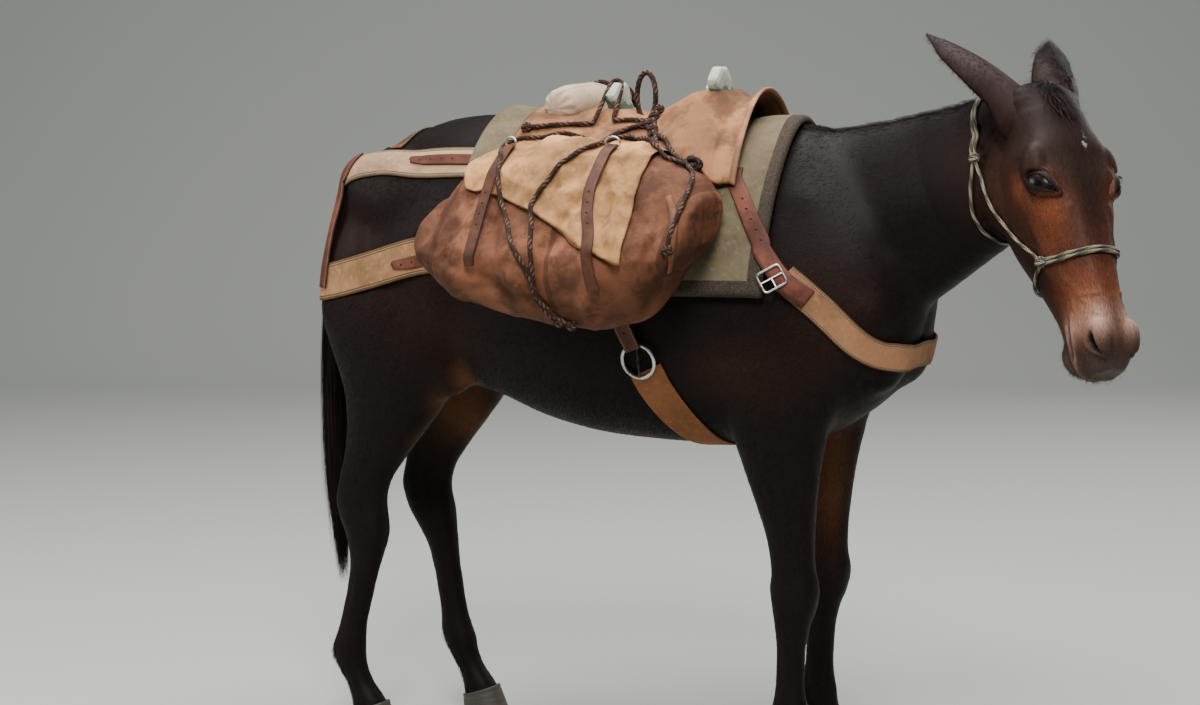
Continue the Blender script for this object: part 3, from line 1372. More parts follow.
def hoof_points(grid):
    """Rings from the coronet to the sole: each lets the coronet's ring out by its share of the way down."""
    level = grid[:, 0, 2]
    row = int(np.argmin(np.abs(level - CORONET_HEIGHT)))
    top = grid[row].copy()
    top[:, 2] = CORONET_HEIGHT - 0.0004
    middle = top.mean(axis=0)
    top[:, 2] += CORONET_SLOPE * (top[:, 0] - middle[0])
    grow = HOOF_SIZE / np.array([np.ptp(top[:, 0]), np.ptp(top[:, 1])])
    t = np.linspace(0, 1, HOOF_ROWS)[:, None]
    wave = 1 + 0.006 * np.sin(t * 40) * (1 - t) + 0.02 * bell(t / 0.06)
    x = middle[0] + (top[:, 0] - middle[0]) * (1 + (grow[0] - 1) * t) * wave + HOOF_REACH * t
    y = middle[1] + (top[:, 1] - middle[1]) * (1 + (grow[1] - 1) * t) * wave
    return np.stack([x, y, top[:, 2] * (1 - t)], axis=2)


horn = Finish("horn", 0.5, 0.4)
band = horn.noise(1.0, 4, where=horn.place((12, 12, 300)))
grain = horn.noise(1.0, 3, where=horn.place((260, 260, 14)))
horn.colour(horn.mix(band * 0.6 + grain * 0.4, (0.020, 0.017, 0.015), (0.085, 0.070, 0.055)))
horn.rough(0.42 + grain * 0.25)
horn.bump(band + grain * 0.4, 0.0008, 0.6)
for name, grid in leg_grids.items():
    mesh = mesh_from_grid(name.replace("leg", "horn"), hoof_points(grid + shift), around=True, caps=True)
    dress(mesh, horn.material, [name.replace("leg", "hoof")])
print("hooves", len(leg_grids))

# %% [markdown]
# ## Hair that breaks the outline
# Flat short hair is bump, but at an edge against the light one sees hair by hair. So thin tapered tufts lie
# over the hide, small on face and legs. Each is a strip of three cross lines; thousands are made at once as
# one array. Particle hair would look alike here, yet wouldn't leave as a mesh.

# %% Roots on the skin, and strips of hair
def roots_on(thing, count, seed, weight):
    """Random places on a mesh: faces drawn by area times weight, places in them from two random shares."""
    rng = np.random.default_rng(seed)
    mesh = thing.data
    mesh.calc_loop_triangles()
    corners = np.empty(len(mesh.loop_triangles) * 3, np.int32)
    mesh.loop_triangles.foreach_get("vertices", corners)
    spots, normals = points_of(mesh), normals_of(mesh)
    corners = corners.reshape(-1, 3)
    a, b, c = (spots[corners[:, i]] for i in range(3))
    area = np.linalg.norm(np.cross(b - a, c - a), axis=1) * weight((a + b + c) / 3, normals[corners[:, 0]])
    chosen = np.searchsorted(np.cumsum(area), rng.random(count) * area.sum())
    u, v = rng.random((2, count, 1))
    u, v = np.where(u + v > 1, 1 - u, u), np.where(u + v > 1, 1 - v, v)
    a, b, c = a[chosen], b[chosen], c[chosen]
    return a + (b - a) * u + (c - a) * v, normals[corners[chosen, 0]], rng


def strips(name, lines, sides, widths, roots, colours):
    """Flat strips: lines is hairs by steps by 3, each step widened along its side. A hair's whole map
    is one patch three thousandths across, at its root's place on the skin's own map."""
    count, steps = lines.shape[:2]
    across = sides * widths[:, :, None] / 2
    spots = np.stack([lines - across, lines + across], axis=2).reshape(-1, 3)
    hair, step = np.arange(count)[:, None], np.arange(steps - 1)[None, :]
    first = (hair * steps + step) * 2
    quads = np.stack([first, first + 1, first + 3, first + 2], axis=-1).reshape(-1, 4)
    mesh = mesh_of(name, spots, quads.ravel(), np.arange(len(quads)) * 4)
    mark_points(mesh, "coat", np.repeat(colours, steps * 2, axis=0))
    mark_points(mesh, "flow", np.repeat(flow_of(roots), steps * 2, axis=0) + spots * 0.02)
    along = np.linspace(-0.0015, 0.0015, steps)[None, :, None] + 0 * hair[:, :, None]
    wide = np.stack([along - along - 0.0015, along - along + 0.0015], axis=2)
    patch = np.concatenate([wide, np.stack([along, along], axis=2)], axis=3).reshape(-1, 2)
    spots_uv = np.clip(np.repeat(unwrap(roots), steps * 2, axis=0) + patch, 0, 1)
    add_map(mesh, spots_uv[quads.ravel()])
    return mesh


def lay_of(points, normals):
    """Which way hair lies: back along the trunk and neck, down the legs and cheeks, down the face."""
    local, body = in_head(points), points - shift
    leg = smooth_step(body[:, 2], 0.95, 0.75)[:, None]
    flat, falling = 0 * body[:, 1], -0.35 - 0.6 * smooth_step(np.abs(body[:, 1]), 0.05, 0.2)
    back = np.stack([flat - 0.75, flat, falling], axis=1)
    down = np.array([-0.12, 0, -1.0])
    face = HEAD_TURN @ np.array([1.0, 0, -0.35])
    way = back + (down - back) * leg
    way = way + (face - way) * head_share(local)[:, None]
    return unit(way - normals * (way * normals).sum(axis=1)[:, None])


def tufts(name, count, seed, weight, length, width, lift=0.30, wild=0.35):
    """Short flat hairs: along the lay of the coat, lifted a little, tips bent back down."""
    roots, normals, rng = roots_on(skin, count, seed, weight)
    way = unit(lay_of(roots, normals) + rng.normal(0, wild, (count, 3)) * 0.5)
    way = unit(way - normals * (way * normals).sum(axis=1)[:, None])
    length = length(roots) if callable(length) else length
    long = (length * rng.uniform(0.6, 1.25, count))[:, None, None]
    t = np.array([0.0, 0.5, 1.0])[None, :, None]
    rise = (lift * t - 0.6 * lift * t**2) * normals[:, None]
    lines = roots[:, None] + (way[:, None] * t + rise - 0.05 * normals[:, None]) * long
    sides = np.repeat(unit(np.cross(way, normals))[:, None], 3, axis=1)
    widths = width * np.array([[0.8, 1.0, 0.12]])
    shade = coat_colour(roots) * rng.uniform(0.75, 1.25, (count, 1))
    return strips(name, lines, sides, widths, roots, shade)


PAD_FRONT = 0.075
PAD_BACK = -0.660
print("hair strips are ready")

# %% Short coat over the whole animal
def tack_free(points):
    """0 where the pad covers the coat."""
    body = points - shift
    pad_here = (body[:, 0] > PAD_BACK - 0.01) & (body[:, 0] < PAD_FRONT + 0.01) & (body[:, 2] > 1.02)
    return 1.0 - pad_here


def body_weight(points, normals):
    """The body above the coronets, clear of pad and head."""
    return tack_free(points) * ~is_head(points) * (points[:, 2] > 0.075)


def face_weight(points, normals):
    """The head, clear of the eyes and the lips' tips."""
    return is_head(points) * (1.0 - near_eye(in_head(points), 0.030)) * (in_head(points)[:, 0] < 0.60)


def coat_length(points):
    """Shorter down the legs, longer under the belly and behind the elbow."""
    z = points[:, 2]
    return 0.010 + 0.004 * smooth_step(z, 1.0, 0.8) - 0.006 * smooth_step(z, 0.75, 0.5)


def face_length(points):
    """Longer towards the poll."""
    return 0.0045 + 0.0030 * smooth_step(in_head(points)[:, 0], 0.25, 0.0)


hair_finish = coat_finish("short_hair", 0.50)
COAT_PIECES = (
    ("coat_body_a", 44000, 11, body_weight, coat_length, 0.0011),
    ("coat_body_b", 44000, 12, body_weight, coat_length, 0.0009),
    ("coat_face", 44000, 13, face_weight, face_length, 0.0006),
)
for row in COAT_PIECES:
    dress(tufts(*row), hair_finish, [])
print("short tufts", sum(row[1] for row in COAT_PIECES))

# %% [markdown]
# Where hair grows longer it breaks the outline: a clipped crest, a black tuft between the ears, edges of the
# ears, fetlocks, chin and belly. The same strips do it, rooted by a different weight in each place. A few
# white hairs make the small star.

# %% Crest, poll, ears, fetlocks, chin and star
def crest_weight(points, normals):
    """A bell across the neck's upper line."""
    body = points - shift
    along = smooth_step(body[:, 0], 0.02, 0.10) * smooth_step(in_head(points)[:, 0], 0.03, -0.02)
    return along * (np.abs(body[:, 1]) < 0.10) * (normals[:, 2] > 0.55) * bell(normals[:, 1] / 0.30)


def poll_weight(points, normals):
    """A bell between the ears."""
    return lump(in_head(points), (0.005, 0.0, 0.0), (0.035, 0.020, 0.06)) + 1e-9


def fetlock_weight(points, normals):
    """A bell in height, on the back of each fetlock."""
    return bell((points[:, 2] - 0.165) / 0.035) * (normals[:, 0] < -0.3) + 1e-9 * (points[:, 2] < 0.3)


def coronet_weight(points, normals):
    """A narrow bell in height above each hoof."""
    return bell((points[:, 2] - 0.082) / 0.008) * (points[:, 2] > 0.068)


def chin_weight(points, normals):
    """A bell under the chin, and a fifth of one at the lips."""
    local = in_head(points)
    under = lump(local, (0.515, 0.0, -0.140), (0.060, 0.045, 0.028))
    return under + 0.2 * lump(local, (0.560, 0.0, -0.09), (0.05, 0.05, 0.05))


def belly_weight(points, normals):
    """Skin that faces down, under the trunk."""
    body = points - shift
    under = (normals[:, 2] < -0.45) & (body[:, 0] > -0.95) & (body[:, 0] < 0.35) & (body[:, 2] > 0.72)
    return under * 1.0 * ~is_head(points)


def star_weight(points, normals):
    """Two small bells on the forehead."""
    local = in_head(points)
    star = lump(local, (0.134, 0.017, 0.019), (0.0036, 0.0022, 0.02))
    return star + 0.10 * lump(local, (0.112, 0.024, 0.019), (0.008, 0.0012, 0.02))


LONG_PIECES = (
    ("crest_hair", 5000, 21, crest_weight, 0.016, 0.0010, 0.9, 0.5),
    ("poll_hair", 1600, 22, poll_weight, 0.034, 0.0012, 0.7, 0.5),
    ("fetlock_hair", 5000, 23, fetlock_weight, 0.022, 0.0010, 0.35, 0.4),
    ("coronet_hair", 5000, 24, coronet_weight, 0.012, 0.0009, 0.25, 0.4),
    ("chin_hair", 1200, 25, chin_weight, 0.012, 0.0005, 0.9, 0.9),
    ("belly_hair", 12000, 26, belly_weight, 0.016, 0.0010, 0.30, 0.4),
    ("star_hair", 150, 27, star_weight, 0.005, 0.0007, 0.25, 0.5),
)
for row in LONG_PIECES:
    made = tufts(*row)
    if row[0] == "star_hair":
        white = np.tile([0.26, 0.24, 0.22], len(made.vertices)).astype(np.float32)
        made.attributes["coat"].data.foreach_set("vector", white)
    dress(made, hair_finish, [])
print("long tufts", [row[0] for row in LONG_PIECES])

# %% [markdown]
# ## Ear edges and lashes
# Ear hair stands along the rim and fills the bottom of the cup. Lashes stand on the upper lid's edge and
# sweep down and out. Both start from rows of the same grids that made ears and lids.

# %% Ear hair and lashes
def fringe(name, roots, ways, bends, lengths, width, colours, steps=5):
    """Curved hairs: root plus way times length, bent by a share of the square of the step."""
    t = np.linspace(0, 1, steps)[None, :, None]
    lines = roots[:, None] + (ways[:, None] * t + bends[:, None] * t**2) * lengths[:, None, None]
    along = unit(np.gradient(lines, axis=1))
    sides = unit(np.cross(along, np.array([0.3, 0.6, 0.74])))
    widths = width * np.array([[1.0, 0.95, 0.8, 0.5, 0.08]])
    return strips(name, lines, sides, widths, roots, colours)


hairs = []
lashes = []
for _, sign in SIDES:
    rng = np.random.default_rng(31)
    grid = ear_points(sign)
    middle = grid.mean(axis=1)
    count = 1500
    row = rng.integers(3, 60, count)
    spot = np.where(rng.random(count) < 0.5, 14, 42) + rng.integers(-2, 3, count)
    roots = grid[row, spot]
    out = unit(roots - middle[row])
    way = unit(grid[np.minimum(row + 4, 71), spot] - roots)
    ways = unit(way * 0.9 + out * 0.25 + rng.normal(0, 0.18, (count, 3)))
    shade = np.tile(COLOURS["ear"], (count, 1)) * rng.uniform(0.5, 1.3, (count, 1))
    hairs.append(fringe("ear", roots, ways, -out * 0.25, rng.uniform(0.006, 0.013, count), 0.0007, shade))
    lid = lid_points(sign, bare_tree)
    count = 90
    turn = (rng.uniform(0.06, 0.44, count) * LID_AROUND).astype(int)
    roots = lid[2, turn]
    outward = HEAD_TURN @ (EYE_OUT * [1, sign, 1])
    up = HEAD_TURN @ (EYE_TOP * [1, sign, 1])
    spread_way = unit(lid[6, turn] - lid[0, turn])
    ways = unit(outward * 0.8 - up * 0.25 + spread_way * 0.25 + rng.normal(0, 0.10, (count, 3)))
    bends, lengths = np.tile(-up * 0.45, (count, 1)), rng.uniform(0.005, 0.009, count)
    lashes.append(fringe("lash", roots, ways, bends, lengths, 0.0006, np.tile(COLOURS["lid"], (count, 1))))
dress(together("ear_fringe", hairs), hair_finish, [])
dress(together("lashes", lashes), hair_finish, [])
print("ear hairs and lashes", len(hairs[0].polygons), len(lashes[0].polygons))

# %% [markdown]
# ## The tail
# The dock is a rounded core that ends halfway down. Long hairs start all over it and fall in locks: each lock
# has its own guide line, and its hairs run together towards the guide's tip. Some hairs are shorter, so the
# outline thins out downwards as a real tail does.

# %% Dock and tail hair
TAIL_PATH = (
    (-0.99, 0.0, 1.385),
    (-1.075, 0.0, 1.335),
    (-1.13, 0.0, 1.22),
    (-1.15, 0.0, 1.05),
    (-1.155, 0.0, 0.85),
    (-1.155, 0.0, 0.6),
    (-1.15, 0.0, 0.33),
)
TAIL_SIZES = (
    (0.0, 0.034),
    (0.15, 0.034),
    (0.3, 0.04),
    (0.5, 0.046),
    (0.75, 0.038),
    (0.9, 0.022),
    (1.0, 0.008),
)
TAIL_STEPS = 15
TAIL_HAIRS = 5600
TAIL_GUIDES = 70
tail_fine = np.linspace(0, 1, 200)
tail_line = spread(np.array(TAIL_PATH) + shift, 200)
tail_size = softened(np.interp(tail_fine, *zip(*TAIL_SIZES)), 10)


def tail_core(rows=60, sides=36):
    """Rings round the tail's path: the size of the tail's fall, drawn in to a point halfway down."""
    t = np.linspace(0, 0.52, rows)
    line = at_places(t, tail_fine, tail_line)
    size = np.interp(t, tail_fine, tail_size) * np.sqrt(np.clip(1 - (t / 0.53) ** 6, 0.01, 1)) * 0.86
    along = unit(np.gradient(line, axis=0))
    side = np.tile([0.0, 1.0, 0.0], (rows, 1))
    over = np.cross(along, side)
    turn = turns(sides)
    ring = np.sin(turn)[None, :, None] * side[:, None] + 0.85 * np.cos(turn)[None, :, None] * over[:, None]
    return line[:, None] + ring * size[:, None, None]


def tail_hairs(seed=41):
    """Each hair follows the tail's path at its own angle, its distance from the middle drawn towards its
    lock's, with a slow wave of its own; it starts along the dock and ends in the lower third."""
    rng = np.random.default_rng(seed)
    guide = rng.integers(0, TAIL_GUIDES, TAIL_HAIRS)
    guide_angle = rng.uniform(0, 2 * np.pi, TAIL_GUIDES)
    guide_out = np.sqrt(rng.uniform(0.15, 1.0, TAIL_GUIDES))
    guide_end = rng.uniform(0.80, 1.0, TAIL_GUIDES)
    start = rng.beta(1.2, 1.8, TAIL_HAIRS) * 0.50 + 0.02
    end = np.clip(guide_end[guide] - np.abs(rng.normal(0, 0.07, TAIL_HAIRS)), 0.6, 1.0)
    t = start[:, None] + (end - start)[:, None] * np.linspace(0, 1, TAIL_STEPS)[None, :]
    share = np.linspace(0, 1, TAIL_STEPS)[None, :]
    angle = guide_angle[guide] + rng.normal(0, 0.55, TAIL_HAIRS)
    size = np.interp(t, tail_fine, tail_size)
    from_core = 0.80 + 0.16 * rng.random((TAIL_HAIRS, 1))
    out = size * (from_core * (1 - share) + share * guide_out[guide][:, None])
    out = out * smooth_step(share, -0.35, 0.2)
    pull = share**0.8 * 0.75
    bearing = angle[:, None] * (1 - pull) + guide_angle[guide][:, None] * pull
    bearing = bearing + 0.10 * np.sin(9 * t + guide[:, None]) * share
    lines = at_places(t, tail_fine, tail_line) + np.stack([0.85 * np.cos(bearing) * out,
                                                           np.sin(bearing) * out, 0 * out], axis=2)
    stray = rng.normal(0, 1, (TAIL_HAIRS, 1, 3)) * [0.006, 0.006, 0]
    lines = lines + stray * share[:, :, None] ** 1.5
    along = unit(np.gradient(lines, axis=1))
    outward = np.stack([np.cos(bearing), np.sin(bearing), 0 * bearing], axis=2)
    sides = unit(np.cross(along, outward) + rng.normal(0, 0.5, (TAIL_HAIRS, 1, 3)))
    widths = 0.0019 * (1 - 0.9 * share**3) * rng.uniform(0.6, 1.2, (TAIL_HAIRS, 1))
    shade = np.array(COLOURS["black"]) * rng.uniform(0.45, 1.6, (TAIL_HAIRS, 1)) + [[0.001, 0, 0]]
    return strips("tail_hair", lines, sides, widths, lines[:, 0], shade)


core_mesh = mesh_from_grid("tail_core", tail_core(), around=True, caps=True)
core_points = points_of(core_mesh)
mark_points(core_mesh, "coat", np.tile(np.array(COLOURS["black"]) * 0.6, (len(core_points), 1)))
mark_points(core_mesh, "flow", core_points[:, [2, 1, 0]])
add_map(core_mesh, unwrap(core_points)[corner_points(core_mesh)])
tail_finish = coat_finish("long_hair", 0.48)
dress(core_mesh, tail_finish, ["tail"], "tail_dock")
hair = dress(tail_hairs(), tail_finish, [])
low, high = points_of(hair.data).min(axis=0), points_of(hair.data).max(axis=0)
print("tail from", np.round(low, 3).tolist(), "to", np.round(high, 3).tolist())

# %% [markdown]
# ## Straps, laid as tight leather lies
# A stretched strap doesn't sink into hollows: it follows the tight outline of what is under it. So each
# route is pressed onto a convex hull of the points near it, and the strap is a thin shell on that line. A
# cloth simulation would sag, and these are pulled tight.

# %% Grounds, routes and shells
STRAP_LIFT = 0.0015


def hull_tree(things, low, high):
    """The tight outline round the points of some objects inside a box, given from the withers."""
    cloud = np.vstack([points_of(thing.data) for thing in things]) - shift
    cloud = cloud[((cloud >= low) & (cloud <= high)).all(axis=1)] + shift

    def wrapped(shape):
        for spot in cloud[:: max(1, len(cloud) // 6000)]:
            shape.verts.new(spot)
        bmesh.ops.convex_hull(shape, input=shape.verts[:])
        bmesh.ops.delete(shape, geom=[vert for vert in shape.verts if not vert.link_faces], context="VERTS")
        outwards(shape)
        return BVHTree.FromBMesh(shape)

    return reworked([], wrapped)


def side_hull(things, sign, along, height):
    """The tight outline of one side's part of some objects."""
    across = (-1, -0.03) if sign < 0 else (0.03, 1)
    return hull_tree(things, *zip(along, across, height))


def laid(route, tree, count, lift=0.0):
    """Evenly spaced points of a route from the withers, laid on a tree's surfaces."""
    points = spread(np.array(route) + shift, count)
    for _ in range(3):
        points = spread(pressed(points, tree, lift)[0], count)
    return pressed(points, tree, lift)


def on_side(route, sign):
    """A route given for the right, on the side asked for."""
    return [(x, -sign * y, z) for x, y, z in route]


def both_sides(route):
    """A route from the middle, mirrored and joined."""
    return list(route) + [(x, -y, z) for x, y, z in reversed(route) if y != 0]


def shell(name, middle, normals, thick, edge=None, puff=0.0):
    """A closed sheet round a grid: half the thickness out and in along the normals, rounded to nothing over
    the edge's width at all four sides. Its map is in metres along and across. A puff swells the middle."""
    edge = thick * 0.5 if edge is None else edge
    rows, columns = middle.shape[:2]
    step_u = np.linalg.norm(np.diff(middle, axis=0), axis=2)
    step_v = np.linalg.norm(np.diff(middle, axis=1), axis=2)
    u = np.vstack([np.zeros(columns), np.cumsum(step_u, axis=0)])
    v = np.hstack([np.zeros((rows, 1)), np.cumsum(step_v, axis=1)])
    inside = np.minimum(np.minimum(u, u[-1:] - u), np.minimum(v, v[:, -1:] - v))
    near = np.clip(inside / edge, 0, 1)
    height = thick / 2 * np.sqrt(1 - (1 - near) ** 2)
    height = height * (1 + puff * np.clip(inside / (4 * edge), 0, 1))
    out = middle + normals * height[:, :, None]
    under = middle - normals * (np.minimum(height, thick / 2))[:, :, None]
    flat = np.stack([u, v], axis=2)
    cloth = np.concatenate([flat, flat[:, ::-1], flat[:, :1]], axis=1)
    mesh = mesh_from_grid(name, np.concatenate([out, under[:, ::-1]], axis=1), around=True, uv=cloth)

    def sealed(shape):
        bmesh.ops.remove_doubles(shape, verts=shape.verts, dist=1e-6)
        outwards(shape)

    return reworked([mesh], sealed, mesh)


def fine_edges(count, share):
    """Places from 0 to 1 with extra ones close to both ends."""
    inner = np.linspace(share, 1 - share, count)
    lip = share * (1 - np.cos(np.linspace(0, np.pi / 2, 4)[:-1]))
    return np.concatenate([lip, inner, 1 - lip[::-1]])


def ribbon(name, route, width, tree, thick=0.0042, count=90, lift=STRAP_LIFT, parts=7, puff=0.0):
    """A strap along a route: its line pressed onto the tree, its width pressed on again at each place."""
    line, normals = laid(route, tree, count)
    lip = min(0.2, 0.6 * thick / route_length(line))
    at = fine_edges(count, lip)
    even = np.linspace(0, 1, count)
    grown = at_places(at, even, line)
    normals = unit(at_places(at, even, softened(normals, 6)))
    side = unit(np.cross(unit(np.gradient(grown, axis=0)), normals))
    widths = np.interp(at, np.linspace(0, 1, len(np.atleast_1d(width))), np.atleast_1d(width))
    across = fine_edges(parts, 0.6 * thick / float(widths.max())) - 0.5
    flat = grown[:, None] + side[:, None] * (across[None, :] * widths[:, None])[:, :, None]
    place, out = pressed(flat, tree)
    place, out = softened(place, 3), unit(softened(out, 6))
    return shell(name, place + out * (lift + thick / 2), out, thick, puff=puff)


print("strap lift", STRAP_LIFT)

# %% [markdown]
# ## Leather, webbing and canvas
# Stitches, holes and worn edges follow the strap, so they are drawn from its own map in metres. Modelled
# stitches would be thousands of tiny pieces, and a flat texture would stretch.

# %% Finishes of the tack
def stitched(across, along, width, inset=0.0045):
    """Dashes 4 mm long, 2 mm apart, in a line near each edge. 1 on the thread."""
    line = 1 - ((across - inset).size().least((across - (width - inset)).size())).rise(0.0005, 0.0010)
    return line * (along * 165).share().rise(0.25, 0.40)


def leather(name, colour, width, holes=None, stitch=False):
    """Leather with grain, dark edges, a stitch line along each edge and holes down the middle."""
    finish = Finish(name, 0.5, 0.2)
    along, across = finish.cloth()
    grain = finish.noise(260, 3)
    worn = finish.noise(14, 5, 0.65)
    edge = 1 - across.least(width - across).rise(0.0, 0.0045)
    shade = finish.mix(worn.rise(0.38, 0.72), tint(colour, 0.55), tint(colour, 1.45))
    shade = finish.mix(edge * 0.6, shade, tint(colour, 0.32))
    height = grain * 0.35 + worn * 0.5
    if stitch:
        sewn = stitched(across, along, width)
        shade = finish.mix(sewn * 0.75, shade, (0.30, 0.26, 0.19))
        height = height + sewn * 0.8
    if holes:
        first, step, count = holes
        near = along.most(first - step / 2).least(first + step * (count - 0.5))
        off = ((near - first) / step + 0.5).share() - 0.5
        gone = (along - near).size() * 400
        hole = 1 - ((off * step) ** 2 + (across - width / 2) ** 2 + gone).root().rise(0.0022, 0.0032)
        shade = finish.mix(hole, shade, (0.006, 0.004, 0.003))
        height = height - hole * 1.5
    finish.colour(shade)
    finish.rough(0.5 + grain * 0.2 - 0.05)
    finish.bump(height, 0.0009, 0.7)
    return finish.material


def canvas(name, colour, thread, rough=0.9, stain=0.5, seams=()):
    """Plain weave: two crossed sines, with dirt in large soft patches. Seams are (axis, place, width)."""
    finish = Finish(name, rough, 0.12)
    cloth = finish.cloth()
    weave = (cloth[0] * (2 * math.pi / thread)).sine() * (cloth[1] * (2 * math.pi / thread)).sine()
    dirt = finish.noise(5.5, 6, 0.62)
    fleck = finish.noise(90, 4)
    shade = finish.mix(dirt.rise(0.35, 0.75), colour, tint(colour, 1 - stain))
    shade = finish.mix(fleck.rise(0.5, 0.8) * 0.45, shade, tint(colour, 1.5))
    height = weave * 0.5 + fleck * 0.4
    for axis, place, width in seams:
        band = 1 - (cloth[axis] - place).size().rise(width * 0.42, width * 0.5)
        shade = finish.mix(band * 0.55, shade, tint(colour, 0.42))
        height = height + band * 1.2
    finish.colour(shade)
    finish.bump(height, 0.0007, 0.6)
    return finish


TACK_COLOURS = {
    "billet": (0.12, 0.036, 0.02),
    "strap": (0.085, 0.03, 0.015),
    "band": (0.39, 0.195, 0.098),
    "hip": (0.43, 0.27, 0.155),
    "breeching": (0.44, 0.235, 0.11),
    "web": (0.24, 0.1, 0.042),
}
nickel = Finish("steel", 0.3, 0.5, Metallic=1.0)
dull = nickel.noise(120, 4)
nickel.colour(nickel.mix(dull.rise(0.4, 0.7), (0.62, 0.60, 0.56), (0.372, 0.36, 0.336)))
nickel.rough(0.3 + dull * 0.25 - 0.08)
steel = nickel.material
print("tack colours", list(TACK_COLOURS))

# %% [markdown]
# ## The saddle pad
# Felt under canvas, lying on the back. Seen from the middle of the trunk it is one patch of a fan: places
# along the back, and angles down both sides. Each place is cast onto the skin and raised.

# %% Pad
PAD_THICKNESS = 0.020
FELT_FRONT = 0.026
FELT_BOTTOM = 0.034


def cast(tree, x, angles, lift, middle=1.12):
    """Surface points seen from the middle of the trunk at x, at angles from upright, with normals."""
    ways = np.stack([0 * angles, np.sin(angles), np.cos(angles)], axis=1)
    start = np.array([x, 0, middle]) + shift
    hits = [tree.ray_cast(Vector(start + way * 0.8), Vector(-way)) for way in ways]
    out = np.array([hit[1] for hit in hits])
    return np.array([hit[0] for hit in hits]) + out * lift, out


skin_tree = tree_of([skin])
fan = np.linspace(-1.61, 1.61, 131)
rows = [cast(skin_tree, x, fan, 0.006 + PAD_THICKNESS / 2) for x in np.linspace(PAD_BACK, PAD_FRONT, 96)]
middle = np.array([row[0] for row in rows])
normals = np.array([row[1] for row in rows])
for _ in range(4):
    middle, normals = softened(middle, 1), unit(softened(normals, 2))
    middle = softened(middle.transpose(1, 0, 2), 1).transpose(1, 0, 2)
    normals = unit(softened(normals.transpose(1, 0, 2), 2).transpose(1, 0, 2))
pad_mesh = shell("pad", middle, normals, PAD_THICKNESS, 0.012)
finish = canvas("pad_canvas", (0.180, 0.142, 0.085), 0.0011, stain=0.55)
along, down = finish.cloth()
edge = (along - (PAD_FRONT - PAD_BACK - FELT_FRONT)).rise(-0.001, 0.001)
low = 1 - down.least(route_length(middle[48]) - down).rise(FELT_BOTTOM - 0.001, FELT_BOTTOM + 0.001)
wool = finish.noise(340, 5, 0.7)
felt = finish.mix(wool.rise(0.3, 0.7), (0.022, 0.016, 0.012), (0.085, 0.066, 0.050))
finish.colour(finish.mix(edge.most(low), finish.coloured(), felt))
pad = dress(pad_mesh, finish.material, ["saddle_pad"])
print("pad", [round(v, 3) for v in pad.dimensions])

# %% [markdown]
# ## Panniers
# Each bag is a ring of rounded squares carried along the animal, fuller low down and flat against the pad.
# Soft canvas then gets folds: long soft valleys fanning from where straps pull, each a bell across its line.

# %% Sizes of the bags, their folds and creases
PANNIER_X = (-0.660, 0.030)
PANNIER_TOP = ((-0.66, -0.55, -0.48, -0.15, 0.0, 0.03), (1.28, 1.40, 1.43, 1.425, 1.37, 1.33))
PANNIER_BOTTOM = ((-0.66, -0.58, -0.45, -0.20, -0.08, 0.03), (1.19, 1.10, 1.07, 1.045, 1.07, 1.22))
BAG_FRONT = -0.020
# Side view: from x, z to x, z, half width and height of each fold
BAG_FOLDS = (
    (-0.48, 1.42, -0.575, 1.16, 0.015, -0.011),
    (-0.48, 1.42, -0.43, 1.14, 0.014, -0.009),
    (-0.24, 1.4, -0.34, 1.1, 0.016, -0.01),
    (-0.24, 1.4, -0.13, 1.14, 0.017, -0.01),
    (-0.24, 1.4, -0.42, 1.26, 0.013, -0.007),
    (-0.24, 1.4, -0.08, 1.26, 0.013, -0.007),
    (-0.64, 1.25, -0.36, 1.09, 0.015, -0.009),
    (-0.08, 1.34, -0.06, 1.12, 0.013, -0.009),
    (-0.6, 1.34, -0.63, 1.18, 0.012, -0.007),
    (-0.36, 1.28, -0.38, 1.07, 0.022, 0.008),
    (-0.16, 1.28, -0.23, 1.07, 0.022, 0.008),
    (-0.56, 1.13, -0.12, 1.085, 0.011, -0.007),
    (-0.52, 1.3, -0.5, 1.12, 0.018, 0.007),
)
# Waves along x and up z, start, bend, height
CREASES = (
    (11.0, 5.0, 0.3, 1.1, 0.0055),
    (8.0, -12.0, 1.1, 1.4, 0.0045),
    (24.0, 10.0, 2.1, 1.7, 0.0026),
    (-15.0, 27.0, 0.7, 1.9, 0.0022),
    (41.0, -20.0, 3.0, 2.3, 0.0012),
)
FLAP_CREASES = (
    (30.0, 17.0, 0.9, 1.3, 0.007),
    (13.0, 34.0, 2.2, 1.6, 0.006),
    (52.0, -26.0, 0.4, 2.0, 0.003),
    (-70.0, 38.0, 1.4, 2.6, 0.0018),
)
print("folds", len(BAG_FOLDS), "creases", len(CREASES))


# %% Shapes of a soft bag
def bag_edge(x, rows):
    """The top or bottom line of the bag, its corners rounded off."""
    fine = np.linspace(*PANNIER_X, 200)
    return np.interp(x, fine, softened(np.interp(fine, *rows), 60))


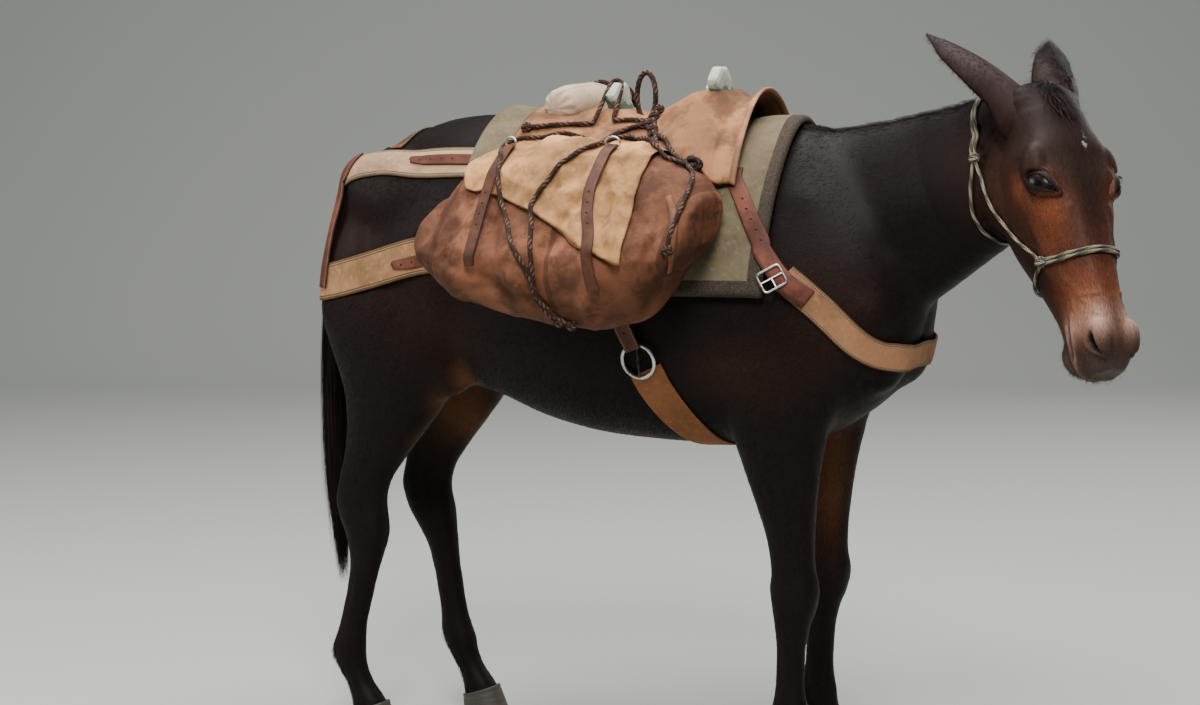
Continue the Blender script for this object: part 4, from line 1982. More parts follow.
def bag_points(tree, sign, t, a):
    """Rings of a soft bag from the pad: rounded squares whose size grows and falls along the animal. The
    front end is blunter than the back."""
    turn = np.pi * t
    reach = 0.5 - 0.5 * np.cos(turn)
    table_x = PANNIER_X[0] + (PANNIER_X[1] - PANNIER_X[0]) * reach
    x = PANNIER_X[0] + (BAG_FRONT - PANNIER_X[0]) * reach
    blunt = smooth_step(reach, 0.5, 1.0)
    low_end = 0.30 + 0.16 * blunt
    full = low_end + (1 - low_end) * np.clip(np.sin(turn), 0, 1) ** (0.42 - 0.12 * blunt)
    top, low = bag_edge(table_x, PANNIER_TOP), bag_edge(table_x, PANNIER_BOTTOM)
    out = sgn_pow(np.cos(a), 2 / 2.7) + 0 * t
    swell = 0.35 + 0.65 * full + 0.20 * blunt * (1 - full)
    z = (top + low) / 2 + (top - low) / 2 * sgn_pow(np.sin(a), 2 / 2.7) * swell
    lean = 0.285 - 0.55 * np.clip(z - 1.20, 0, None)
    fullness = 0.108 + 0.020 * np.clip(1 - np.abs(z - 1.16) / 0.14, 0, None)
    y = lean + 0.085 + fullness * full * out
    points = np.stack([x + 0 * z, sign * y, z], axis=2) + shift
    flat = points.reshape(-1, 3)
    for i in np.flatnonzero(out.ravel() < 0):
        hit = tree.ray_cast(Vector((flat[i, 0], sign, flat[i, 2])), Vector((0, -sign, 0)))[0]
        if hit:
            flat[i, 1] = sign * max(abs(flat[i, 1]), abs(hit.y) + 0.006)
    return points


def folded(points, normals, folds):
    """Bells across lines in side view: depth times e to the minus squared distance, faded at the ends."""
    flat = points - shift
    depth = np.zeros(points.shape[:-1])
    for x0, z0, x1, z1, wide, high in folds:
        way = np.array([x1 - x0, z1 - z0])
        long = np.linalg.norm(way)
        way = way / long
        dx, dz = flat[..., 0] - x0, flat[..., 2] - z0
        along = (dx * way[0] + dz * way[1]) / long
        off = -dx * way[1] + dz * way[0] + 0.010 * np.sin(along * 7 + x0 * 40)
        fade = smooth_step(along, -0.05, 0.25) * smooth_step(along, 1.1, 0.75)
        depth += high * fade * bell(off / wide)
    return points + normals * depth[..., None]


def creased(points, normals, waves):
    """Sharp creases: one less the size of a bent sine wave, raised to a power. They only ever stand out."""
    x, z = points[..., 0] - WITHERS_X, points[..., 2]
    height = 0
    for along, up, start, bend, high in waves:
        wave = along * x + up * z + start + bend * np.sin(9 * x - 7 * z + start)
        height = height + high * (1 - np.abs(np.sin(wave))) ** 2.2
    return points + normals * height[..., None]


def grid_normals(points, sign):
    """Normals of a grid from its two gradients, turned outwards."""
    along = np.roll(points, -1, axis=1) - np.roll(points, 1, axis=1)
    return unit(np.cross(np.gradient(points, axis=0), along)) * -sign


def grid_map(points):
    """A map in metres along and across a grid."""
    u = np.vstack([np.zeros(points.shape[1]), np.cumsum(np.linalg.norm(np.diff(points, axis=0), axis=2),
                                                        axis=0)])
    closed = np.concatenate([points, points[:, :1]], axis=1)
    v = np.cumsum(np.linalg.norm(np.diff(closed, axis=1), axis=2), axis=1)
    v = np.hstack([np.zeros((len(points), 1)), v])
    return np.stack([np.hstack([u, u[:, :1]]), v], axis=2)


print("top of the bag", np.round(bag_edge(np.array([-0.5, -0.2]), PANNIER_TOP), 3))

# %% [markdown]
# Oiled canvas takes dark patches where it is rubbed and handled, and its panels are sewn under dark strips.
# The flap is cut on a slant: it starts high at the back and hangs lower towards the shoulder. It is laid over
# the bag's own folds, with finer creases of its own.

# %% Two bags and their flaps
BAG_STRIPS = ((-0.585, 0.10, 0.016), (-0.300, -0.04, 0.014), (-0.045, 0.16, 0.016))
# Share of the bag's length at the flap's back and front, at its top and at its lower edge
FLAP_REACH = ((0.150, 0.285), (0.685, 0.735))
FLAP_TOP = 138
FLAP_LOW = ((0.0, 0.5, 1.0), (24, 5, -11))


def oiled(name, colour, strips, rubbing=0.36, share=0.75, seams=()):
    """Oiled canvas with dark rubbed patches and sewn strips: x, lean and width of each."""
    finish = canvas(name, colour, 0.0013, 0.62, 0.55, seams)
    spot = finish.place()
    x, z = finish.part(spot, 0) - WITHERS_X, finish.part(spot, 2)
    rubbed = finish.noise(11, 5, 0.7).rise(0.44, 0.62)
    faded = finish.noise(1.0, 4, where=finish.place((7, 7, 4))).rise(0.48, 0.66)
    shade = finish.mix(faded * 0.55, finish.coloured(), tint(colour, 2.1))
    shade = finish.mix(rubbed * share, shade, tint(colour, rubbing))
    shade = finish.mix((1.22 - z).rise(0.0, 0.20) * 0.35, shade, tint(colour, 0.5))
    for place, lean, width in strips:
        band = 1 - (x - place - (z - 1.25) * lean).size().rise(width * 0.42, width * 0.5)
        shade = finish.mix(band * 0.6, shade, tint(colour, 0.30))
    finish.colour(shade)
    return finish.material


pad_tree = tree_of([pad])
bags, flaps = {}, {}
for side, sign in SIDES:
    points = bag_points(pad_tree, sign, np.linspace(0, 1, 150)[:, None], turns(168)[None, :])
    out = grid_normals(points, sign)
    points = creased(folded(points, out, BAG_FOLDS), out, CREASES)
    bag = mesh_from_grid("bag_" + side, points, around=True, caps=True, uv=grid_map(points))
    bags[side] = dress(bag, oiled("bag_" + side, (0.170, 0.066, 0.034), BAG_STRIPS), ["pannier_" + side])

    share, down = np.linspace(0, 1, 110), np.linspace(0, 1, 90)[None, :]
    low = np.radians(np.interp(share, *FLAP_LOW))[:, None]
    turn = math.radians(FLAP_TOP) + (low - math.radians(FLAP_TOP)) * down
    back, front = (top + (bottom - top) * down for top, bottom in FLAP_REACH)
    points = bag_points(pad_tree, sign, back + (front - back) * share[:, None], turn)
    normals = unit(np.cross(np.gradient(points, axis=0), np.gradient(points, axis=1))) * sign
    points = creased(folded(points, normals, BAG_FOLDS), normals, CREASES)
    points = creased(points, normals, FLAP_CREASES)
    flap = shell("flap_" + side, points + normals * 0.0050, normals, 0.0032)
    cloth = oiled("flap_" + side, (0.450, 0.225, 0.088), (), 0.38, 0.60)
    flaps[side] = dress(flap, cloth, ["pannier_flap_" + side])
print("bags", [round(v, 3) for v in bags["right"].dimensions])

# %% [markdown]
# ## Straps over the panniers
# The routes are given as places along the animal and degrees round the bag, so they stay on the bag when it
# changes. Each is cast onto bag and flap, then pressed on the tight outline of both.

# %% Pannier straps
PANNIER_STRAPS = {
    "pannier_strap_back": ((-0.48, 105), (-0.48, 70), (-0.48, 30), (-0.478, 0), (-0.476, -28)),
    "pannier_strap_front": ((-0.235, 105), (-0.235, 70), (-0.225, 30), (-0.205, 0), (-0.185, -40)),
}


def bag_point(tree, x, angle, sign):
    """The outside of a pannier at x, at an angle above level."""
    way = np.array([0, sign * math.cos(math.radians(angle)), math.sin(math.radians(angle))])
    start = np.array([x, sign * 0.36, 1.25]) + shift
    return np.array(tree.ray_cast(Vector(start + way * 0.5), Vector(-way))[0]) - shift


def hoop(name, centre, across, up, size, radius, square=0.0, sides=12, steps=72):
    """A ring or frame: the half sizes along two directions, squarer with a higher power, of round wire."""
    across = unit(np.array(across, float))
    up = unit(up - across * np.dot(up, across))
    facing = np.cross(across, up)
    turn = turns(steps)
    power = 1 - square
    x, y = size[0] * sgn_pow(np.cos(turn), power), size[1] * sgn_pow(np.sin(turn), power)
    line = np.array(centre) + x[:, None] * across + y[:, None] * up
    out = unit(np.cos(turn)[:, None] * across + np.sin(turn)[:, None] * up)
    wire = turns(sides)
    round_wire = np.cos(wire)[None, :, None] * out[:, None] + np.sin(wire)[None, :, None] * facing
    grid = line[:, None] + radius * round_wire
    return mesh_from_grid(name, grid, around=True, along=True)


def rod(name, start, end, radius, sides=12):
    """A short round bar with domed ends."""
    start, end = np.array(start, float), np.array(end, float)
    way = unit(end - start)
    side = unit(np.cross(way, [0.31, 0.52, 0.79]))
    other = np.cross(way, side)
    long, rising = np.linalg.norm(end - start), np.linspace(0.1, np.pi / 2, 5)
    domed = np.cos(np.linspace(0, np.pi / 2, 5)) * radius
    at = np.concatenate([-domed, [0, long], long + domed[::-1]])[:, None, None]
    size = np.concatenate([np.sin(rising), [1, 1], np.sin(rising[::-1])])[:, None, None] * radius
    turn = turns(sides)
    ring = np.cos(turn)[:, None] * side + np.sin(turn)[:, None] * other
    return mesh_from_grid(name, start + at * way + size * ring[None], around=True, caps=True)


# The raw edge down the front of the bag: x, and degrees above level
BAG_EDGE = ((-0.062, 66), (-0.042, 40), (-0.033, 10), (-0.036, -20), (-0.052, -48))
edging_leather = leather("edging_leather", (0.190, 0.080, 0.036), 0.014)
strap_leather = leather("strap_leather", TACK_COLOURS["strap"], 0.026, (0.150, 0.026, 4))
for side, sign in SIDES:
    cover_tree = tree_of([bags[side], flaps[side]])
    for name, route in PANNIER_STRAPS.items():
        near = [x for x, _ in route]
        outside = hull_tree([bags[side], flaps[side]], (min(near) - 0.12, -1, 0), (max(near) + 0.12, 1, 2))
        route = [bag_point(cover_tree, x, angle, sign) for x, angle in route]
        strap = ribbon(f"{name}_strip_{side}", route, 0.026, outside, 0.0040)
        dress(strap, strap_leather, [f"{name}_{side}"])
        top, out = pressed(np.array(route[0]) + shift, outside, 0.008)
        ring = hoop("strap_ring", top, np.cross(out, (0, 0, 1)), (0, 0, 1), (0.016, 0.012), 0.0022)
        dress(ring, steel, [], f"{name}_ring_{side}")
    route = [bag_point(cover_tree, x, angle, sign) for x, angle in BAG_EDGE]
    edging = ribbon("bag_edging_" + side, route, (0.012, 0.016, 0.011), cover_tree, 0.0036, lift=0.004)
    dress(edging, edging_leather, [])
print("pannier straps", 4)

# %% [markdown]
# ## The stiff cover and the rolled canvas
# The cover is waxed canvas that keeps the saddle's arch: a table says how high it stands over the pad at
# each place. The roll is a short tube whose ends are gathered, so pleats run out from the middle of each end.

# %% Cover and roll
COVER = (
    (-0.015, 0.05, 0.52),
    (-0.07, 0.034, 0.44),
    (-0.13, 0.02, 0.34),
    (-0.24, 0.012, 0.3),
    (-0.4, 0.01, 0.3),
    (-0.56, 0.004, 0.3),
)
ROLL_PATH = ((-0.500, -0.090, 1.500), (-0.480, 0.030, 1.515), (-0.465, 0.150, 1.500))
CROSSBUCKS = ((-0.135, 1.580), (-0.385, 1.545))
COVER_SPAN = 1.30
# How much further down the canvas reaches, from the back forward
COVER_WIDER = ((-0.20, -0.15, -0.09, -0.03), (1.32, 1.55, 1.48, 1.0))
# Height of the canvas over the crossed planks: x and the height of its ridge
RIDGE = ((-0.56, -0.47, -0.42, -0.36, -0.29, -0.175, -0.095, -0.070, -0.020),
         (1.40, 1.470, 1.500, 1.500, 1.470, 1.535, 1.540, 1.505, 1.40))


def cover_points(tree, places, fan):
    """Surface of the pad seen from its middle, raised by an arch that falls to nothing at both sides."""
    x, top, half = (np.array([row[i] for row in COVER][::-1]) for i in range(3))
    middle, normals = [], []
    for place in places:
        wider = np.interp(place, *COVER_WIDER)
        spot, out = cast(tree, place, fan * np.interp(place, x, half) * wider, 0.008)
        arch = np.interp(place, x, top) * np.clip(np.cos(fan * math.pi / 2 / COVER_SPAN), 0, 1) ** 0.8
        spot = spot + np.array([0, 0, 1.0]) * arch[:, None]
        ridge = np.interp(place, *RIDGE) + np.minimum(0, 0.062 - 1.05 * np.hypot(spot[:, 1], 0.022))
        spot[:, 2] = np.maximum(spot[:, 2], ridge)
        middle.append(spot)
        normals.append(out)
    return np.array(middle), np.array(normals)


places = np.linspace(COVER[0][0], COVER[-1][0], 90)
fan = np.linspace(-COVER_SPAN, COVER_SPAN, 96)
middle, _ = cover_points(pad_tree, places, fan)
middle = softened(softened(middle, 8).transpose(1, 0, 2), 3).transpose(1, 0, 2)
normals = unit(np.cross(np.gradient(middle, axis=0), np.gradient(middle, axis=1)))
normals = normals * np.sign(normals[:, :, 2:].mean())
wave = 0.0022 * np.sin(places * 38)[:, None] * np.cos(fan * 1.2)[None, :]
middle = middle + normals * (0.004 + wave)[:, :, None]
cover_canvas = oiled("cover_canvas", (0.270, 0.125, 0.058), (), 0.36, 0.65, seams=((0, 0.060, 0.010),))
cover = dress(shell("cover", middle, normals, 0.0045), cover_canvas, ["saddle_cover"])
edge = middle[0] - normals[0] * 0.0002
side = unit(np.gradient(middle, axis=0)[0])
wrap = turns(14)[None, :, None]
wound = 0.0088 * np.cos(wrap) * side[:, None] + 0.0042 * np.sin(wrap) * normals[0][:, None]
bound = edge[:, None] + wound + side[:, None] * 0.006
binding = mesh_from_grid("cover_binding", bound, around=True, caps=True, uv=grid_map(bound))
dress(binding, leather("binding", (0.300, 0.140, 0.072), 0.03), [])


def roll_points(rows=110, sides=96):
    """A tube with drawn-in ends: its radius falls in a quarter circle and pleats deepen towards the ends."""
    line = spread(np.array(ROLL_PATH) + shift, rows)
    along = unit(np.gradient(line, axis=0))
    side = unit(np.cross(along, [0, 0, 1.0]))
    other = np.cross(side, along)
    t = np.linspace(-1, 1, rows)
    turn = turns(sides)
    end = np.clip((np.abs(t) - 0.80) / 0.20, 0, 1)
    size = 0.045 * np.sqrt(np.clip(1 - end**2, 0.002, 1)) * (1 + 0.03 * np.sin(t * 9))
    pleat = 1 + (0.10 * end)[:, None] * np.sin(turn * 11 + 1.5 * t[:, None])
    pleat = pleat - 0.018 * np.abs(np.sin(turn * 2.5 + t[:, None] * 4))
    ring = np.cos(turn)[None, :, None] * side[:, None] + np.sin(turn)[None, :, None] * other[:, None]
    return line[:, None] + ring * (size[:, None] * pleat)[:, :, None]


points = roll_points()
roll_canvas = canvas("roll_canvas", (0.540, 0.400, 0.280), 0.0013, stain=0.35, seams=((1, 0.05, 0.004),))
roll = mesh_from_grid("roll", points, around=True, caps=True, uv=grid_map(points))
roll = dress(roll, roll_canvas.material, ["canvas_roll"])
print("cover", [round(v, 3) for v in cover.dimensions], "roll", [round(v, 3) for v in roll.dimensions])

# %% [markdown]
# ## Crossbucks
# Two pairs of crossed wooden planks, painted green and rubbed bare at the tops. A rounded-square section
# along each plank keeps its edges soft, as years of rope leave them.

# %% Crossed planks
PLANK = ((0.0, 0.0155, 0.036), (0.6, 0.0155, 0.032), (0.9, 0.0155, 0.030), (0.97, 0.0150, 0.027),
         (1.0, 0.0120, 0.021))


def plank_points(x, top, sign, rows=60, sides=40):
    """A rounded-square section carried from beside the spine over to the other side's top."""
    low, high = np.array([0, sign * 0.150, top - 0.205]), np.array([0, -sign * 0.058, top])
    way = unit(high - low)
    flat = np.array([0, -way[2], way[1]])
    t = 1 - (1 - np.linspace(0, 1, rows)) ** 1.6
    thick, wide = (np.interp(t, [row[0] for row in PLANK], [row[i] for row in PLANK]) for i in (1, 2))
    turn = turns(sides)
    middle = low + (high - low) * t[:, None] + np.array([x + sign * 0.0148, 0, 0]) + shift
    over = sgn_pow(np.cos(turn), 0.35)[None, :] * thick[:, None] * 0.97
    across = sgn_pow(np.sin(turn), 0.35)[None, :] * wide[:, None] * 0.98
    return middle[:, None] + over[:, :, None] * np.array([1.0, 0, 0]) + across[:, :, None] * flat


for name, (x, top) in zip(("crossbuck_front", "crossbuck_back"), CROSSBUCKS):
    finish = Finish("paint_" + name, 0.5, 0.4)
    grain = finish.noise(2.0, 5, 0.6, finish.place((60, 60, 9)))
    chips = finish.noise(46, 6, 0.7)
    worn = (finish.part(finish.place(), 2) - (top - 0.045)) * 16 + chips * 1.6 - 0.55
    paint = finish.mix(grain, (0.030, 0.085, 0.058), (0.110, 0.190, 0.135))
    bare = finish.mix(grain, (0.26, 0.29, 0.22), (0.52, 0.54, 0.44))
    finish.colour(finish.mix(worn.rise(0.45, 0.62), paint, bare))
    finish.rough(0.45 + worn.rise(0.4, 0.7) * 0.35)
    finish.bump(grain * 0.6 + chips * 0.5, 0.001, 0.6)
    planks = [mesh_from_grid("plank", plank_points(x, top, sign), around=True, caps=True)
              for sign in (-1, 1)]
    dress(together(name + "_planks", planks), finish.material, [name])
print("crossbucks", len(CROSSBUCKS))

# %% [markdown]
# ## Breeching, collar and cinch
# The wide bands are leather-edged canvas round the haunches and chest; narrow straps carry them. They are
# all the same ribbon, with its own ground, width and finish.

# %% Bands round the haunches
BREECHING = (
    (-0.64, -0.26, 1.19),
    (-0.78, -0.25, 1.17),
    (-0.92, -0.225, 1.13),
    (-1.03, -0.165, 1.095),
    (-1.085, -0.09, 1.085),
    (-1.095, 0.0, 1.085),
)
HIP_BAND = (
    (-0.64, -0.19, 1.39),
    (-0.76, -0.19, 1.39),
    (-0.88, -0.17, 1.375),
    (-1.01, -0.13, 1.335),
)
HANGER = ((-0.985, -0.120, 1.372), (-1.000, -0.150, 1.300), (-1.030, -0.160, 1.200), (-1.035, -0.160, 1.080))
CROUP = ((-0.900, -0.120, 1.390), (-0.900, -0.060, 1.440), (-0.900, 0.0, 1.450))
BAND_WIDTH = 0.085


def banded(name, colour, width, border=0.011):
    """A canvas band with a darker leather border, sewn along both edges of it."""
    finish = canvas(name, colour, 0.0016, 0.85, 0.62)
    along, across = finish.cloth()
    side = 1 - across.least(width - across).rise(border - 0.0008, border)
    sewn = stitched(across, along, width, border * 0.6)
    hide = finish.mix(finish.noise(30, 5), tint(colour, 0.14), tint(colour, 0.42))
    finish.colour(finish.mix(sewn * 0.8, finish.mix(side, finish.coloured(), hide), (0.42, 0.34, 0.22)))
    return finish.material


haunches = hull_tree([skin], (-2, -1, 0.96), (-0.50, 1, 1.26))
band_canvas = banded("breeching", TACK_COLOURS["breeching"], BAND_WIDTH)
hip_canvas = banded("hip_canvas", TACK_COLOURS["hip"], 0.083)
tongue_leather = leather("tongue_leather", TACK_COLOURS["billet"], 0.028, (0.020, 0.030, 5))
HIP_WIDTHS = (0.080, 0.086)
TONGUE_WIDTHS = (0.016, 0.027, 0.028, 0.028)
# Strap ends that lie on the bands, from their free ends forward
HIP_TONGUE = ((-0.845, -0.172, 1.382), (-0.750, -0.178, 1.386), (-0.674, -0.182, 1.387),
              (-0.610, -0.190, 1.392))
BAND_TONGUE = ((-0.850, -0.236, 1.146), (-0.780, -0.250, 1.158), (-0.700, -0.257, 1.176),
               (-0.640, -0.260, 1.188))
BAND_FORM = {"thick": 0.0048, "parts": 13, "puff": 0.15}
breeching = ribbon("breeching_band", both_sides(BREECHING), BAND_WIDTH, haunches, count=200, **BAND_FORM)
breeching = dress(breeching, band_canvas, ["breeching"])
hanger_leather = leather("hanger_leather", TACK_COLOURS["billet"], 0.036, stitch=True)
for side, sign in SIDES:
    hip = ribbon("hip_strip_" + side, on_side(HIP_BAND, sign), HIP_WIDTHS, skin_tree, count=70, **BAND_FORM)
    hip = dress(hip, hip_canvas, ["hip_band_" + side])
    for name, route, below in (("hip_tongue_", HIP_TONGUE, hip), ("band_tongue_", BAND_TONGUE, breeching)):
        tongue = ribbon(name + side, on_side(route, sign), TONGUE_WIDTHS, tree_of([below]), 0.0036, 60)
        dress(tongue, tongue_leather, [])
    rump = side_hull([skin, breeching, hip], sign, (-1.10, -0.90), (0.95, 1.42))
    hanger = ribbon("hanger_strip_" + side, on_side(HANGER, sign), 0.036, rump, count=70)
    dress(hanger, hanger_leather, ["hanger_" + side])
croup = ribbon("croup_strip", both_sides(CROUP), 0.034, skin_tree, count=70)
croup_leather = leather("croup_leather", TACK_COLOURS["strap"], 0.034, stitch=True)
dress(croup, croup_leather, ["croup_strap"])
print("haunch bands", 4)

# %% Breast collar, billets and their buckles
BREAST_BAND = (
    (0.118, -0.25, 1.165),
    (0.188, -0.21, 1.1),
    (0.271, -0.15, 1.015),
    (0.325, -0.07, 0.99),
    (0.335, 0.0, 0.99),
)
BILLET = ((0.010, -0.280, 1.380), (0.060, -0.280, 1.275), (0.118, -0.250, 1.165), (0.175, -0.230, 1.115))
chest = hull_tree([skin], (0.04, -1, 0.88), (0.385, 1, 1.20))
COLLAR_WIDTH = 0.062
collar = ribbon("collar_band", both_sides(BREAST_BAND), COLLAR_WIDTH, chest, count=180, **BAND_FORM)
collar_canvas = banded("collar", TACK_COLOURS["band"], COLLAR_WIDTH, 0.007)
collar = dress(collar, collar_canvas, ["breast_collar"])
billet_leather = leather("billet_leather", TACK_COLOURS["billet"], 0.037, (0.085, 0.026, 5))
billet_route = [1.9 * np.array(BILLET[0]) - 0.9 * np.array(BILLET[1]), *BILLET]
for side, sign in SIDES:
    over = side_hull([skin, pad, collar], sign, (-0.03, 0.23), (1.00, 1.45))
    billet = ribbon("billet_strip_" + side, on_side(billet_route, sign), (0.034, 0.040, 0.044), over, 0.0045)
    billet = dress(billet, billet_leather, ["breast_billet_" + side])
    place, out = pressed(np.array([0.116, -sign * -0.30, 1.170]) + shift, tree_of([billet]), 0.0045)
    way = unit(np.array([0.52, 0.0, -0.85]))
    way = unit(way - out * way.dot(out))
    across = np.cross(way, out)
    edge = hoop("breast_frame", place, across, way, (0.026, 0.022), 0.0024, square=0.72)
    tongue = rod("tongue", place, place + way * 0.021 + out * 0.001, 0.0018)
    at, half = place - way * 0.001, unit(across) * 0.024
    frame = together("breast_frame_" + side, [edge, tongue, rod("bar", at - half, at + half, 0.0018)])
    dress(frame, steel, ["breast_buckle_" + side])
print("collar and billets", 3)

# %% Cinch, its rings and latigos
CINCH = ((-0.180, -0.300, 0.930), (-0.165, -0.270, 0.880), (-0.130, -0.160, 0.790), (-0.110, 0.0, 0.765))
LATIGO = ((-0.235, -0.300, 1.095), (-0.225, -0.300, 1.040), (-0.205, -0.310, 0.985))
belly = tree_of([skin, pad])
cinch = ribbon("cinch_band", both_sides(CINCH), 0.078, belly, 0.0050, 160, parts=13, puff=0.3)
web = canvas("cinch_web", TACK_COLOURS["web"], 0.0045, stain=0.6)
dress(cinch, web.material, ["cinch"])
latigo_leather = leather("latigo_leather", TACK_COLOURS["strap"], 0.040, (0.045, 0.022, 3), stitch=True)
for side, sign in SIDES:
    place, out = pressed(np.array([-0.190, sign * 0.32, 0.955]) + shift, belly, 0.011)
    up = unit(np.cross(out, np.array([1.0, 0, 0])))
    ring = hoop("cinch_hoop", place, (1, 0, 0), up, (0.038, 0.038), 0.0042)
    up = up if up[2] > 0 else -up
    tongue = rod("tongue", place + up * 0.038, place - up * 0.036 + out * 0.003, 0.0024)
    ring = dress(together("cinch_hoop_" + side, [ring, tongue]), steel, ["cinch_ring_" + side])
    under = side_hull([skin, pad, ring], sign, (-0.32, -0.10), (0.94, 1.18))
    latigo = ribbon("latigo_strip_" + side, on_side(LATIGO, sign), 0.040, under, count=60)
    dress(latigo, latigo_leather, ["latigo_" + side])
print("cinch and latigos", 3)

# %% [markdown]
# ## Ropes
# Three strands laid round each other: going round the rope, its radius rises and falls three times, and that
# pattern turns as it goes along. The same turn drives the colour, so flecks follow the strands. A curve with
# a round bevel would need its twist faked by a texture alone.

# %% Twisted rope
ROPE_RADIUS = 0.0055
# One side, from the withers: each line is laid on what is under it
LASHINGS = (
    ((-0.255, -0.097, 1.459), (-0.314, -0.13, 1.455), (-0.42, -0.24, 1.44), (-0.497, -0.302, 1.415),
     (-0.477, -0.362, 1.385), (-0.459, -0.401, 1.351), (-0.439, -0.423, 1.304), (-0.396, -0.469, 1.249),
     (-0.354, -0.5, 1.196), (-0.332, -0.493, 1.147), (-0.309, -0.459, 1.097), (-0.265, -0.434, 1.068)),
    ((-0.241, -0.116, 1.447), (-0.25, -0.25, 1.432), (-0.325, -0.369, 1.378), (-0.346, -0.396, 1.347),
     (-0.363, -0.422, 1.31), (-0.348, -0.465, 1.257), (-0.336, -0.494, 1.207), (-0.332, -0.498, 1.164),
     (-0.321, -0.463, 1.105), (-0.29, -0.44, 1.075)),
    ((-0.255, -0.09, 1.46), (-0.18, -0.17, 1.44), (-0.11, -0.24, 1.42), (-0.06, -0.3, 1.385),
     (-0.04, -0.35, 1.34), (-0.03, -0.38, 1.29), (-0.04, -0.4, 1.22)),
    ((-0.535, -0.15, 1.46), (-0.42, -0.12, 1.47), (-0.34, -0.085, 1.475), (-0.25, -0.08, 1.47)),
    ((-0.27, -0.1, 1.46), (-0.21, -0.13, 1.45), (-0.13, -0.2, 1.425), (-0.085, -0.235, 1.4),
     (-0.095, -0.28, 1.4), (-0.16, -0.27, 1.42), (-0.25, -0.2, 1.44)),
)
ROPE_LAY = 0.042


def rope_points(line, radius, sides=20, strands=3, lay=ROPE_LAY, seed=0.0):
    """Rings whose radius is a strand's bulge: the size of a cosine of half the strands' turns."""
    along = unit(np.gradient(line, axis=0))
    side = np.cross(along, [0.31, 0.52, 0.79])
    side = unit(side - along * (side * along).sum(axis=1)[:, None])
    for i in range(1, len(side)):
        side[i] = side[i - 1] - along[i] * side[i - 1].dot(along[i])
        side[i] /= np.linalg.norm(side[i])
    other = np.cross(along, side)
    length = np.concatenate([[0], np.cumsum(np.linalg.norm(np.diff(line, axis=0), axis=1))])
    turn = turns(sides)[None, :]
    phase = turn - 2 * np.pi * length[:, None] / lay + seed
    bulge = radius * (0.80 + 0.20 * np.abs(np.cos(phase * strands / 2)) ** 0.7)
    ring = np.cos(turn)[..., None] * side[:, None] + np.sin(turn)[..., None] * other[:, None]
    points = line[:, None] + ring * bulge[..., None]
    wide = np.linspace(0, 1, sides + 1)[None, :] + 0 * length[:, None]
    return points, np.stack([length[:, None] + 0 * wide, wide], axis=2)


def rope(name, line, radius, **settings):
    """Rings along a line, three quarters of its radius apart."""
    count = max(24, int(route_length(line) / (radius * 0.75)))
    points, cloth = rope_points(spread(line, count), radius, **settings)
    return mesh_from_grid(name, points, around=True, caps=True, uv=cloth)


def rope_finish(name, dark, light, share, lay=ROPE_LAY, strands=3):
    """Two colours of yarn: flecks along each strand, worked out from the rope's own twist."""
    finish = Finish(name, 0.85, 0.2)
    along, round_it = finish.cloth()
    strand = (round_it - along * (1 / lay)) * strands
    fleck = ((strand.share() - 0.5).size() * 2).rise(0.15, 0.6)
    beat = (along * (1.9 / lay) + strand * 0.37).share().rise(0.45, 0.60)
    fuzz = finish.noise(900, 3)
    light_share = (1 - fleck) * beat * (share + fuzz * 0.5)
    finish.colour(finish.mix(light_share.least(1.0), dark, light))
    finish.bump(fuzz + fleck * -0.8, 0.0006, 0.7)
    return finish.material


def knot_line(centre, size, turns=5):
    """A winding round a ball that tips over as it goes, as a crown knot looks."""
    t = np.linspace(0, 1, 200)
    angle, tip = 2 * np.pi * turns * t, 2.4 * np.pi * t
    ball = np.stack([np.cos(angle), np.sin(angle) * np.cos(tip), np.sin(angle) * np.sin(tip)], axis=1)
    return centre + size * ball


def dropped(route, tree, sign, count, lift):
    """A line thrown over the load: each point comes down from a little outside towards the bag's middle and
    stops at the first surface."""
    points = spread(np.array(route) + shift, count)
    middle = np.stack([points[:, 0], np.full(count, sign * 0.29), np.full(count, 1.21)], axis=1)
    out = unit(points - middle)
    for k, (point, way) in enumerate(zip(points, out)):
        hit, normal, _, _ = tree.ray_cast(Vector(point + way * 0.20), Vector(-way))
        if hit:
            points[k] = np.array(hit) + np.array(normal) * lift
    return softened(points, 4)


LASH_KNOT = ((-0.095, -0.225, 1.410), (-0.080, -0.240, 1.400))
lash_finish = rope_finish("lash_rope", (0.026, 0.012, 0.009), (0.24, 0.13, 0.075), 0.30)
planks = [thing for thing in bpy.data.objects if thing.name.endswith("_planks")]
for side, sign in SIDES:
    ground = tree_of([pad, cover, roll, bags[side], flaps[side], *planks])
    lines = [dropped(on_side(route, sign), ground, sign, 110, ROPE_RADIUS + 0.0012) for route in LASHINGS]
    cords = [rope("cord", line, ROPE_RADIUS, seed=seed) for seed, line in enumerate(lines)]
    for end in (line[k] for line in lines for k in (0, -1)):
        cords.append(rope("end_knot", knot_line(end, 0.0085, 3), ROPE_RADIUS * 0.9, sides=12))
    knot = dropped(on_side(LASH_KNOT, sign), ground, sign, 3, 0.010)[1]
    cords.append(rope("knot", knot_line(knot, 0.016, 4), ROPE_RADIUS * 0.9, sides=14))
    dress(together("lashing_" + side, cords), lash_finish, ["lash_rope_" + side])
turn = np.linspace(0, 2 * np.pi, 200)
loop = 0.030 * np.cos(turn)[:, None] * unit(np.array([0.94, -0.34, 0]))
loop = loop + 0.052 * np.sin(turn)[:, None] * np.array([0, 0, 1.0]) + [-0.300, -0.030, 1.530] + shift
points, cloth = rope_points(loop, 0.0062)
loop = mesh_from_grid("loop_cord", points, around=True, caps=True, uv=cloth)
